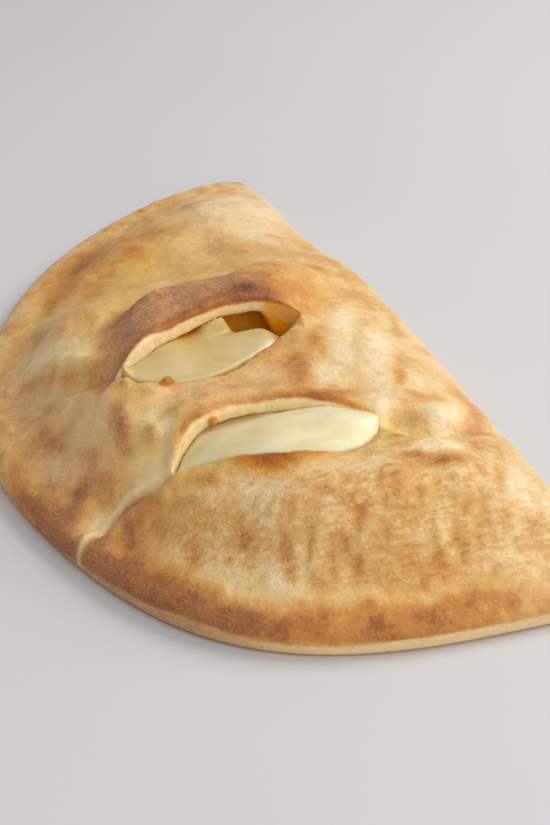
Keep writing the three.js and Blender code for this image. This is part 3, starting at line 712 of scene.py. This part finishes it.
# Besides the crust's own paleness, some pale spots are painted light on the bright side by the fold and on
# its bumps.
PALE_AND_LIT_SEEN = [
    (343, 340, 12, 30, 0, 0.3), (380, 352, 14, 28, 0, 0.26), (321, 372, 12, 11, 0, 0.3),
    (379, 401, 11, 15, 0, 0.5), (446, 417, 17, 19, 0, 0.46), (430, 444, 26, 5, 4, 0.24),
    (404, 433, 9, 4, -20, 0.3), (70, 352, 20, 20, 0, 0.3), (163, 285, 14, 5, 24, 0.2),
    (232, 208, 45, 22, 10, 0.2), (262, 222, 30, 22, -40, 0.14), (95, 420, 14, 22, 0, 0.12),
    (168, 470, 7, 13, -35, 0.3), (140, 485, 16, 5, 30, 0.26), (103, 530, 12, 6, 45, 0.26),
    (88, 527, 12, 12, 0, 0.3), (262, 489, 38, 7, 2, 0.16), (350, 464, 50, 8, 4, 0.2),
    (240, 577, 24, 12, 0, 0.16), (298, 591, 26, 8, -18, 0.14), (352, 598, 24, 9, 0, 0.1),
    (500, 558, 20, 11, -20, 0.18), (427, 601, 14, 8, 0, 0.12), (110, 552, 14, 7, 0, 0.16),
    (56, 468, 16, 6, -50, 0.1), (130, 560, 26, 7, -18, 0.1), (170, 556, 14, 9, 0, 0.12),
    (275, 578, 5, 16, 15, 0.16), (412, 383, 18, 10, 0, 0.16), (335, 318, 12, 10, 0, 0.12),
    (520, 480, 24, 12, -40, 0.14), (150, 470, 14, 12, 0, 0.14), (170, 393, 22, 4, -5, 0.12),
    (345, 560, 5, 16, 0, 0.1), (300, 560, 6, 14, 0, 0.1),
]
PHOTO = (550, 825)
SPOT_SHARE = 0.792  # of a spot's seen half-width, since a bell fades beyond its own
SPOT_LEAST = (1.3, 1.9)  # millimetres, across and along
SIGHT_LEVELS = np.arange(60, 0, -0.13)  # where a line of sight is tried, from the top

# Spots on the crust, by the same numbers as SWELLS.
DUSTED = [
    (-97, 50, 27, 14, -25, 0.45), (-83, 60, 24, 7, -20, 0.25), (41, -47, 12, 5, 0, 0.3),
    (52, -4, 9, 16, 8, 0.3), (102, -14, 10, 3, 60, 0.2), (104, 12, 13, 3.5, 75, 0.2),
    (0, -58, 14, 5, 20, 0.25), (41, -60, 6, 2.5, 10, 0.4), (120, -14, 8, 12, 0, 0.15),
    (-50, -48, 30, 6, -8, 0.08),
]
# Two bumps by the fold are whitened, partly by flour and partly as a painted highlight.
FLOURED_AND_LIT_BUMPS = [(80, 33, 4, 3, -25, 0.5), (91, 50, 4.5, 4, 0, 0.45)]  # these have no glaze
SCORCHED = [(110, -49, 6, 2.2, 35, 0.11), (128, -31, 6, 2.2, 50, 0.07), (96, -57, 5, 1.6, 28, 0.05)]
CLOSED_VENT = [(-45, -4, 34, 30, 0, 1)]
GLAZED = [
    (64, -38, 12, 9, 0, 0.6), (8, -50, 12, 7, 0, 0.6), (92, -32, 10, 12, 0, 0.4), (49, -46, 12, 9, 0, 0.6),
    (-74, -14, 18, 14, 0, 0.8), (2, -43, 10, 6, 0, 0.5), (130, -8, 9, 16, 0, 0.4),
]
# A painted highlight: a pale, glossy-looking dab put into the cheese's colour.
PAINTED_HIGHLIGHT = [(28, 19, 3, 2, -60, 0.8)]  # on the cheese of the middle vent

# Broad patches, browner or, where the amount is negative, paler.
BROAD = [
    (-90, 49, 22, 14, 0, 0.08), (-45, -39, 12, 8, 0, -0.16), (0, -42, 10, 6, 0, -0.04),
    (9, -49, 8, 6, 0, -0.15), (-47, -52, 20, 5, -5, 0.16), (6, -10, 8, 10, 0, 0.08),
    (-1, 22, 9, 8, 0, 0.14), (6, 37, 9, 7, 0, 0.05), (15, 60, 14, 10, 0, -0.08), (58, -4, 6, 12, 0, 0.1),
    (36, 21, 7, 6, 0, -0.1), (42, 38, 10, 8, 0, -0.1), (33, -63, 10, 6, 0, 0.1), (67, -33, 8, 6, 0, -0.16),
    (68, -51, 6, 5, 0, 0.12), (91, -32, 7, 7, 0, -0.1), (90, -45, 7, 7, 0, 0.14),
    (113, -19, 8, 10, 0, -0.06), (113, -38, 9, 6, 0, -0.1), (130, -14, 7, 10, 0, -0.04),
    (127, 12, 9, 12, 0, 0.05), (-62, 14, 14, 12, 0, -0.06), (107, -51, 16, 5, 25, 0.12),
    (-73, -16, 14, 12, 0, 0.04), (60, -32, 9, 5, 20, -0.26), (-52, -56, 12, 6, -10, -0.14),
    (-20, -52, 12, 5, 0, -0.16), (-12, -46, 9, 6, 30, -0.12),
]

# Browning of plain crust, and what each field of the crust adds to it, painted light and shade among them.
PLAIN_BROWNING = 0.33
BROWNING_AND_SHADING_ADDED = dict(wander=0.07, ridge=0.38, line=0.12, char=0.34, crest=0.08, lip=0.28, flap=0.24,
                 # The side crease's gentle slope is made paler as painted light, and its white edge partly
                 # so.
                 flap_dark=0.24, seared=0.3, white_and_lit_edge=-0.3, painted_light_slope=-0.2, brown_edge=0.18,
                 rear_edge=0.06, streaks=-0.1, stretches=-0.07, blisters=0.35)
LEVELLING = (0.6, 0.22)  # where browning begins to level off, and the most that it can still gain


def under_pixels(across, down):
    """The x and y where pixels of the photograph show the crust, nan where they miss it."""
    right, up, look = camera_axes()
    eye = np.array(CAMERA_TARGET) - look * CAMERA_DISTANCE
    focus = CAMERA_LENS / CAMERA_FILM * PHOTO[1]
    sight = look + (np.outer(across - PHOTO[0] / 2, right) - np.outer(down - PHOTO[1] / 2, up)) / focus
    far = (SIGHT_LEVELS - eye[2]) / sight[:, 2:]
    x, y = eye[0] + far * sight[:, :1], eye[1] + far * sight[:, 1:2]
    met = (inside(x, y) > 0.3) & (SIGHT_LEVELS <= smooth_top(x, y))
    first = np.arange(len(x)), met.argmax(1)
    return np.where(met.any(1), (x[first], y[first]), np.nan).T


def on_crust(seen):
    """Spots in the photograph as spots on the crust."""
    found = []
    for across, down, long, wide, turn, amount in seen:
        sin, cos = math.sin(math.radians(turn)), math.cos(math.radians(turn))
        steps = np.array([(0, 0), (long * cos, -long * sin), (wide * sin, wide * cos)])
        steps = np.concatenate([steps, -steps[1:]])
        middle, *ends = under_pixels(*(steps + (across, down)).T)
        ends = np.array(ends) - middle
        ends = np.where(np.isnan(ends), -np.roll(ends, 2, 0), ends)
        halves = (ends[:2] - ends[2:]) / 2
        sizes, ways = np.linalg.eigh(halves.T @ halves)
        narrow, length = np.maximum(SPOT_SHARE * np.sqrt(sizes), SPOT_LEAST)
        found.append((*middle, length, narrow, math.degrees(math.atan2(ways[1, 1], ways[0, 1])), amount))
    return found


def crease_sides(crease, x, y):
    """A crease's white edge, partly pale and partly painted light, painted light on its gentle slope, and
    its browned steep edge.
    """
    gap, at, side = nearest_on_path(crease["path"], x, y)
    off = gap * side * crease["steep_on"] + 0.8 * noise(x / 6, y / 6, 63)
    along = smooth(-0.02, 0.06, at) * (1 - 0.6 * smooth(0.8, 1, at))
    wide = 1.5 - 0.7 * smooth(0.1, 0.5, at)
    white = bell((off + 0.4 + wide) / wide) * along
    brown = bell((off - 1.8) / 1.5) * along * smooth(0.15, 0.4, at)
    return white, bell((off + 4.5) / 3.2) * along, brown


def crust_points(piece):
    """The crust's points, with the measures that its fields go by."""
    x, y, z = points_of(piece).T
    curve, fold = edge_distances(x, y)
    top = smooth_top(x, y)
    beads = sum(bell(np.maximum(bead_field(bead, x, y, z), 0) / 0.5) for bead in BEADS)
    return SimpleNamespace(
        x=x, y=y, z=z, top=top, drop=top - z, on_top=1 - smooth(1.5, 4, top - z), depth=inside(x, y),
        curve=curve, fold=fold, fold_side=smooth(44, 6, fold), beads=np.minimum(beads, 1),
        to_middle=vent_distance(MIDDLE_VENT, x, y), to_front=vent_distance(FRONT_VENT, x, y),
        wander=noise(x / 11, y / 11, 51) + 0.5 * noise(x / 5, y / 5, 52))


def cut_fields(p):
    """Where the dough is cut through at the far lips, is seared, lies inside under a painted glow, or hangs
    past the vent.
    """
    _, far, near = vent_at(MIDDLE_VENT, p.y)
    _, front_far, front_near = vent_at(FRONT_VENT, p.y)
    singed = smooth(-26, -12, p.y) * (1 + 0.9 * bell((p.y - 12) / 6))
    down = p.drop + 0.3 * p.wander
    middle = smooth(0.5 + singed, 1.3 + 1.3 * singed, down) * smooth(3.2, 2.0, p.to_middle)
    middle = middle * smooth(2, -2, p.x - (far + near) / 2)
    front = smooth(0.7, 1.6, down) * smooth(3.2, 2.0, p.to_front)
    front = front * smooth(2, -2, p.x - (front_far + front_near) / 2)
    seared = smooth(0.2, 0.9, p.drop) * smooth(2.6, 1.4, p.drop) * smooth(2.6, 1.4, p.to_middle)
    inner = smooth(CRUST + 0.3, CRUST + 2.0, p.drop) * smooth(8, 14, p.depth)
    end_wall = smooth(19, 23, p.y) * smooth(4, 2.5, p.to_middle) * smooth(0.8, 2.2, p.drop)
    return np.maximum(middle, front), seared * np.minimum(singed, 1), inner, end_wall


def ridge_fields(p):
    """Browning at the middle vent's far lip: on its ridge, over the lip, the char and the crest."""
    t, far, _ = vent_at(MIDDLE_VENT, p.y)
    behind = far - p.x
    beside = smooth(-1.4, -1.0, t - 0.008 * behind) * smooth(1.0, 0.35, t - 0.012 * behind)
    level = MIDDLE_VENT["ridge_top"] + MIDDLE_VENT["ridge_skew"] * np.clip(t, -1, 1)
    ridge = smooth(-1, 0.5, behind) * smooth(level + 9, level, behind + 2 * p.wander) * beside
    line = bell((behind - 2.2) / 1.6) * smooth(-1.1, -0.9, t) * smooth(0.9, 0.4, t)
    char = bell((p.y - 19.5 + 0.5 * behind) / 7) * bell((behind - 4.2 - 0.7 * p.wander) / 3)
    crest = bell((behind - level - 1.5) / 1.7) * smooth(-1.0, -0.8, t) * smooth(-0.1, -0.4, t)
    return ridge, line, char, crest


def flap_fields(p):
    """The front vent's browned far lip, the thin flap along its near edge and the flap's dark middle."""
    t, far, near = vent_at(FRONT_VENT, p.y)
    lip = bell((far - p.x - 1.4) / 1.5) * smooth(1.1, 0.8, np.abs(t))
    lip = lip * (0.6 + 0.4 * smooth(-10, 8, p.y))
    wide = 1.3 + 2.6 * bell((p.y + 9) / 8)
    flap = bell((p.x - near - wide) / wide) * smooth(-23, -15, p.y) * smooth(13, 8, p.y) * (p.drop < 7)
    return lip, flap, flap * bell((p.y + 8) / 6) * bell((p.x - near - 3.5) / 2.6)


def rim_fields(p):
    """The browned band round the curved edge, its pale side, how far left both are, and the foot."""
    left = smooth(-6, -46, p.y) * smooth(40, 70, p.x)
    far_left = smooth(85, 60, p.x)
    upper = 5 * noise(p.x / 13, p.y / 13, 53) + 1.6 * p.wander
    band = smooth(-1, 0.6, p.curve + 0.3 * p.wander) * smooth(13, 3, p.curve + upper)
    band = band * smooth(20, -30, p.y - p.x + 90) * smooth(30, 58, p.x)
    highest = 0.5 + 0.2 * bell((p.y + 42) / 8) + 0.08 * smooth(-20, 20, p.y)
    highest = highest - 0.3 * far_left + 0.04 * p.wander
    side = smooth(highest + 0.06, highest - 0.06, p.z / np.maximum(p.top, 1))
    side = side * smooth(7, 4, p.depth) * smooth(22, 12, p.top)
    return band, side, left, far_left, (1 - smooth(0.4, 1.2, p.z)) * smooth(12, 6, p.depth)


def browning_and_shading(p):
    # Browning, with painted shade and light from some of the spots and fields.
    brown = PLAIN_BROWNING + patches(on_crust(BROWN_AND_SHADE_SEEN) + BROAD, p.x, p.y)
    brown = brown - patches(on_crust(PALE_AND_LIT_SEEN), p.x, p.y)
    brown = brown + sum(amount * vars(p)[name] for name, amount in BROWNING_AND_SHADING_ADDED.items())
    brown = brown - 0.1 * p.fold_side * smooth(0, 30, p.x)
    # The band is browner on the left, partly real browning and partly painted shade.
    brown = brown + (0.32 + 0.24 * p.left + 0.1 * p.wander - 0.14 * smooth(10, 40, p.y)) * p.band
    level, gain = LEVELLING
    brown = np.where(brown > level, level + gain * (1 - np.exp((level - brown) / gain)), brown)
    brown = brown + 0.15 * p.char + patches(SCORCHED, p.x, p.y)
    # On the left the pale side is browner, partly real browning and partly painted shade; the foot is
    # darker, partly browned crust and partly painted contact shade.
    brown = brown * (1 - p.side) + (0.3 + 0.42 * p.left) * p.side + 0.3 * p.foot
    return np.maximum(brown * (1 - 0.9 * p.cut), 0.6 * p.beads)


def flour_and_painted_light(p):
    # Flour dust, with painted light on the bumps by the fold.
    dust = 0.05 + patches(DUSTED + FLOURED_AND_LIT_BUMPS, p.x, p.y) + 0.22 * p.ridge * (1 - p.char) * (1 - p.line)
    dust = dust + 0.35 * smooth(9, 2, p.curve) * smooth(-30, -70, p.x) + 0.25 * smooth(14, 1, p.fold)
    # The rim's pale side has less flour on the left, partly real and partly painted shade.
    dust = dust + 0.16 * side_lobe(p.x, p.y) + 0.04 * p.band * p.left + (0.3 - 0.14 * p.left) * p.side
    # The crease's white edge adds flour colour, partly real dust and partly painted light.
    dust = dust + 0.5 * p.white_and_lit_edge + 0.2 * p.fold_side * smooth(10, 50, p.x)
    return dust * (1 - p.cut) * (1 - p.beads) * (1 - 0.8 * p.seared) * (1 - 0.9 * p.flap)


def glaze_and_painted_light(p):
    """Melted fat: on the closed vent, round the open ones, in the fold's crease and on the flap."""
    _, far, _ = vent_at(MIDDLE_VENT, p.y)
    around = 0.5 * smooth(12, 2, p.to_middle) * (p.x > far) * smooth(-5, -25, p.y)
    around = np.minimum(around + 0.7 * smooth(9, 1, p.to_front), 1) * (1 - p.ridge)
    groove = 0.9 * bell(nearest_on_path(FOLD_CREASE["path"], p.x, p.y)[0] / 4) * smooth(60, 48, p.y)
    dry = np.minimum(2 * patches(FLOURED_AND_LIT_BUMPS, p.x, p.y), 1)
    # The side crease's gentle slope gets glaze colour as painted light.
    fat = patches(CLOSED_VENT, p.x, p.y) * (1 - p.ridge) + patches(GLAZED, p.x, p.y) + 0.5 * p.painted_light_slope
    fat = fat + (around + groove) * (1 - dry) + 1.2 * p.flap + p.beads
    return np.maximum(fat * p.on_top, 0.8 * p.seared)


def crust_fields(piece):
    """Sets the fields that the crust's material reads."""
    p = crust_points(piece)
    p.cut, p.seared, p.inner, p.end_wall = cut_fields(p)
    p.ridge, p.line, p.char, p.crest = ridge_fields(p)
    p.lip, p.flap, p.flap_dark = flap_fields(p)
    p.band, p.side, p.left, p.far_left, p.foot = rim_fields(p)
    p.white_and_lit_edge, p.painted_light_slope, p.brown_edge = crease_sides(SIDE_CREASE, p.x, p.y)
    p.rear_edge = crease_sides(REAR_CREASE, p.x, p.y)[2]
    p.streaks = front_slope(p.x, p.y) * radial_streaks(p.x, p.y)
    p.stretches = stretched_skin(p.x, p.y) * stretch_lines(p.x, p.y)
    p.blisters = blister_height(p.x, p.y) * p.on_top
    set_field(piece, "browning_and_shading", browning_and_shading(p))
    set_field(piece, "flour_and_painted_light", flour_and_painted_light(p))
    set_field(piece, "glaze_and_painted_light", glaze_and_painted_light(p))
    skin = smooth(84, 96, p.x) * smooth(8, 16, p.curve)
    set_field(piece, "skin", skin * (1 - p.cut) * (1 - 0.5 * p.flap))
    # The cut colour also covers the crease's white edge, partly pale dough and partly painted light, and
    # the rim's pale side.
    crumb = np.maximum(p.cut * (1 - p.beads), 0.9 * p.white_and_lit_edge)
    # The rim's pale side is less pale on the left and far left, partly real and partly painted shade.
    crumb = np.maximum(crumb, 0.6 * p.side * (1 - 0.75 * p.left) * (1 - 0.6 * p.far_left))
    set_field(piece, "cut", crumb * (1 - p.inner) * (1 - p.foot))
    # The dough inside and the end wall get their own orange-brown and a painted amber glow of light through
    # the cheese.
    set_field(piece, "inner", np.maximum(p.inner, 0.8 * p.end_wall))


def cheese_fields(piece):
    """Sets how yellow and how shaded the cheese is."""
    x, y, _ = points_of(piece).T
    _, far, near = vent_within(MIDDLE_VENT, y)
    in_middle = 1 - smooth(50, 62, x)
    # The cheese is less yellow under its painted highlight.
    middle = 0.72 + 0.28 * smooth(near - 4, far - 2, x) - patches(PAINTED_HIGHLIGHT, x, y)
    set_field(piece, "yellow", in_middle * middle + (1 - in_middle) * 0.4 * smooth(10, -22, y))
    set_field(piece, "shade", in_middle * smooth(far + 2.5, far - 4, x))


# ======== materials

def linear(red, green, blue):
    """A colour given as on screen, 0 to 255."""
    shares = [c / 255 for c in (red, green, blue)]
    return tuple(c / 12.92 if c <= 0.04 else ((c + 0.055) / 1.055) ** 2.4 for c in shares) + (1,)


class Graph:
    """Short calls that build a material's nodes."""

    def __init__(self, name):
        self.material = bpy.data.materials.new(name)
        self.material.use_nodes = True
        self.tree = self.material.node_tree
        self.shader = self.tree.nodes["Principled BSDF"]
        self.place = self.tree.nodes.new("ShaderNodeTexCoord").outputs["Object"]

    def set(self, node, socket, value):
        if isinstance(value, bpy.types.NodeSocket):
            self.tree.links.new(value, node.inputs[socket])
        else:
            node.inputs[socket].default_value = value

    def surface(self, values):
        for socket, value in values.items():
            self.set(self.shader, socket, value)

    def field(self, name):
        node = self.tree.nodes.new("ShaderNodeAttribute")
        node.attribute_name = name
        return node.outputs["Fac"]

    def noise(self, size_mm, detail=2.0, roughness=0.5, stretch=(1, 1, 1)):
        place = self.place
        if stretch != (1, 1, 1):
            mapping = self.tree.nodes.new("ShaderNodeMapping")
            self.set(mapping, "Vector", place)
            self.set(mapping, "Scale", stretch)
            place = mapping.outputs["Vector"]
        node = self.tree.nodes.new("ShaderNodeTexNoise")
        self.set(node, "Vector", place)
        self.set(node, "Scale", 1000 / size_mm)
        self.set(node, "Detail", detail)
        self.set(node, "Roughness", roughness)
        return node.outputs["Fac"]

    def math(self, operation, a, b=0.0, c=0.0, clamp=False):
        node = self.tree.nodes.new("ShaderNodeMath")
        node.operation = operation
        node.use_clamp = clamp
        for socket, value in enumerate((a, b, c)):
            self.set(node, socket, value)
        return node.outputs[0]

    def spread(self, value, low, high, to_low=0.0, to_high=1.0):
        """Value from low to high becomes to_low to to_high, evenly and clipped."""
        node = self.tree.nodes.new("ShaderNodeMapRange")
        for socket, v in zip(("Value", "From Min", "From Max", "To Min", "To Max"),
                             (value, low, high, to_low, to_high)):
            self.set(node, socket, v)
        return node.outputs[0]

    def ramp(self, value, stops):
        node = self.tree.nodes.new("ShaderNodeValToRGB")
        node.color_ramp.interpolation = "EASE"
        for i, (at, colour) in enumerate(stops):
            stop = node.color_ramp.elements[i] if i < 2 else node.color_ramp.elements.new(at)
            stop.position = at
            stop.color = colour
        self.set(node, "Fac", value)
        return node.outputs["Color"]

    def mix(self, amount, a, b):
        node = self.tree.nodes.new("ShaderNodeMix")
        node.data_type = "RGBA"
        self.set(node, 0, amount)
        self.set(node, 6, a)
        self.set(node, 7, b)
        return node.outputs[2]

    def bump(self, height, distance_mm, strength=1.0, normal=None):
        node = self.tree.nodes.new("ShaderNodeBump")
        self.set(node, "Height", height)
        self.set(node, "Distance", distance_mm * 0.001)
        self.set(node, "Strength", strength)
        if normal is not None:
            self.set(node, "Normal", normal)
        return node.outputs["Normal"]


CRUST_DRY = [
    (0.0, linear(250, 226, 182)), (0.2, linear(240, 202, 140)), (0.4, linear(224, 168, 94)),
    (0.6, linear(204, 134, 60)), (0.8, linear(164, 94, 40)), (1.0, linear(100, 58, 32)),
]
CRUST_GLAZED = [
    (0.0, linear(244, 212, 140)), (0.3, linear(230, 180, 94)), (0.55, linear(210, 138, 52)),
    (0.8, linear(170, 90, 28)), (1.0, linear(100, 54, 22)),
]
CUT_DOUGH, CUT_SHADED = linear(250, 228, 176), linear(244, 214, 156)
# The dough inside: its own orange-brown, made amber as a painted glow of light shining through the cheese.
INNER_DOUGH_GLOW = linear(236, 158, 22)
FLOUR, FLOUR_GRAIN = linear(240, 218, 184), linear(250, 236, 210)
CHEESE_PALE = linear(248, 238, 200), linear(238, 220, 162)
CHEESE_YELLOW = linear(202, 178, 116), linear(192, 166, 98)
CHEESE_SHADED = linear(238, 166, 28)
PALE_FLOOR = linear(222, 220, 221), linear(216, 214, 215)
MOTTLING = ((9.0, 0.12), (3.2, 0.13), (1.1, 0.12))  # sizes in millimetres, and how much browning each spans


def crust_material():
    g = Graph("baked crust")
    browning_and_shading = g.field("browning_and_shading")
    for size, amount in MOTTLING:
        mottled = g.spread(g.noise(size, 3.0), 0.25, 0.75, -amount / 2, amount / 2)
        browning_and_shading = g.math("ADD", browning_and_shading, mottled)
    crinkles = g.spread(g.noise(1.7, 3.0, 0.6, (1, 0.3, 1)), 0.35, 0.65, -1, 1)
    crinkles = g.math("MULTIPLY", g.field("skin"), crinkles)
    browning_and_shading = g.math("MULTIPLY_ADD", crinkles, 0.09, browning_and_shading)
    freckles = g.spread(g.noise(2.4, 1.0), 0.62, 0.74)
    browning_and_shading = g.math("MULTIPLY_ADD", freckles, 0.08, browning_and_shading, clamp=True)

    colour = g.mix(g.field("glaze_and_painted_light"), g.ramp(browning_and_shading, CRUST_DRY), g.ramp(browning_and_shading, CRUST_GLAZED))
    flour_and_light_here = g.field("flour_and_painted_light")
    dusting = g.spread(g.noise(0.8, 2.0, 0.7), 0.38, 0.64, 0.3, 1.4)
    dusting = g.math("MULTIPLY", flour_and_light_here, dusting, clamp=True)
    colour = g.mix(g.math("MULTIPLY", dusting, 0.7), colour, FLOUR)
    grains = g.spread(g.noise(0.75, 1.0), 0.6, 0.7)
    grains = g.math("MULTIPLY", grains, g.spread(flour_and_light_here, 0, 0.4, 0.03, 0.26))
    colour = g.mix(grains, colour, FLOUR_GRAIN)
    crumb = g.mix(g.spread(g.noise(1.6), 0.4, 0.7), CUT_DOUGH, CUT_SHADED)
    colour = g.mix(g.field("cut"), colour, crumb)
    colour = g.mix(g.field("inner"), colour, INNER_DOUGH_GLOW)

    dull = g.spread(g.noise(2.0), 0.3, 0.7, 0.52, 0.7)
    coarse = g.bump(g.math("MULTIPLY_ADD", crinkles, -0.35, g.noise(2.8, 3.0, 0.6)), 0.6, 0.7)
    g.surface({
        "Base Color": colour,
        "Roughness": g.math("MULTIPLY_ADD", g.field("glaze_and_painted_light"), -0.2, dull),
        "Specular IOR Level": g.math("MULTIPLY_ADD", g.field("inner"), -0.22, 0.25),
        "Subsurface Weight": 0.12, "Subsurface Radius": (0.004, 0.002, 0.001), "Subsurface Scale": 1.0,
        "Normal": g.bump(g.noise(0.9, 2.0, 0.6), 0.2, 0.8, coarse)})
    return g.material


def cheese_material():
    g = Graph("melted cheese")
    streaks = g.spread(g.noise(9.0, 3.0, 0.5, stretch=(1.6, 0.7, 1.0)), 0.35, 0.7)
    colour = g.mix(g.field("yellow"), g.mix(streaks, *CHEESE_PALE), g.mix(streaks, *CHEESE_YELLOW))
    colour = g.mix(g.field("shade"), colour, CHEESE_SHADED)
    g.surface({
        "Base Color": colour,
        "Roughness": g.spread(g.noise(5.0), 0.3, 0.7, 0.32, 0.44),
        "Specular IOR Level": g.math("MULTIPLY_ADD", g.field("shade"), -0.45, 0.5),
        "Subsurface Weight": 0.35, "Subsurface Radius": (0.006, 0.0045, 0.0025), "Subsurface Scale": 1.0,
        "Normal": g.bump(g.noise(6.0, 2.0, 0.5, stretch=(1.3, 0.7, 1)), 0.3, 0.5)})
    return g.material


def floor_material():
    g = Graph("pale floor")
    pale = g.mix(g.noise(180), *PALE_FLOOR)
    g.surface({"Base Color": pale, "Roughness": 0.55, "Specular IOR Level": 0.3})
    return g.material


# ======== the pieces

DOUGH_KEPT, CHEESE_KEPT = 0.41, 0.25  # shares of the faces


def build_dough():
    low, high = (np.array(corner) * 1000 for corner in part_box("dough"))
    piece = mesh_piece("dough_crust", dough_field, low, high, hidden_dough, DOUGH_KEPT)
    crust_fields(piece)
    piece.data.materials.append(crust_material())
    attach(piece, "root")
    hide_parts("dough")


def build_cheese():
    low, high = (np.array(corner) * 1000 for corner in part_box("cheese"))
    piece = mesh_piece("cheese_filling", cheese_field, low, high, hidden_cheese, CHEESE_KEPT)
    cheese_fields(piece)
    piece.data.materials.append(cheese_material())
    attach(piece, "root")
    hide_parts("cheese")


# ======== stage, light and camera

FLOOR_HALF = 3.0  # metres, as are the lights' places and sizes
WINDOW = dict(place=(0.0, 1.1, 1.0), size=1.0, power=12.5, colour=(1.0, 0.985, 0.96))
FILL = dict(place=(1.1, 0.2, 0.9), size=1.4, power=7.0, colour=(1.0, 0.99, 0.97))
ROOM = dict(colour=(0.98, 0.985, 1.0, 1.0), strength=0.4)


def build_floor():
    half = FLOOR_HALF
    corners = [(-half, -half, 0), (half, -half, 0), (half, half, 0), (-half, half, 0)]
    mesh = bpy.data.meshes.new("floor")
    mesh.from_pydata(corners, [], [(0, 1, 2, 3)])
    mesh.materials.append(floor_material())
    floor = bpy.data.objects.new("floor", mesh)
    bpy.context.scene.collection.objects.link(floor)


def area_light(name, place, size, power, colour):
    data = bpy.data.lights.new(name, "AREA")
    data.shape = "DISK"
    data.size = size
    data.energy = power
    data.color = colour
    lamp = bpy.data.objects.new(name, data)
    lamp.location = place
    lamp.rotation_euler = (-Vector(place)).to_track_quat("-Z", "Y").to_euler()
    bpy.context.scene.collection.objects.link(lamp)


def build_light():
    area_light("window", **WINDOW)
    area_light("fill", **FILL)
    world = bpy.data.worlds.new("soft room")
    world.use_nodes = True
    background = world.node_tree.nodes["Background"]
    background.inputs["Color"].default_value = ROOM["colour"]
    background.inputs["Strength"].default_value = ROOM["strength"]
    bpy.context.scene.world = world


def build_camera():
    data = bpy.data.cameras.new("camera")
    data.lens = CAMERA_LENS
    data.sensor_fit = "VERTICAL"
    data.sensor_height = CAMERA_FILM
    data.clip_start = 0.01
    camera = bpy.data.objects.new("camera", data)
    right, up, look = camera_axes()
    place = Vector(CAMERA_TARGET) - Vector(look) * CAMERA_DISTANCE
    camera.matrix_world = (Matrix.Translation(place * 0.001)
                           @ Matrix((right, up, -look)).transposed().to_4x4())
    bpy.context.scene.collection.objects.link(camera)
    bpy.context.scene.camera = camera


build_dough()
build_cheese()
build_floor()
build_light()
build_camera()
bpy.context.scene.view_settings.view_transform = "Standard"
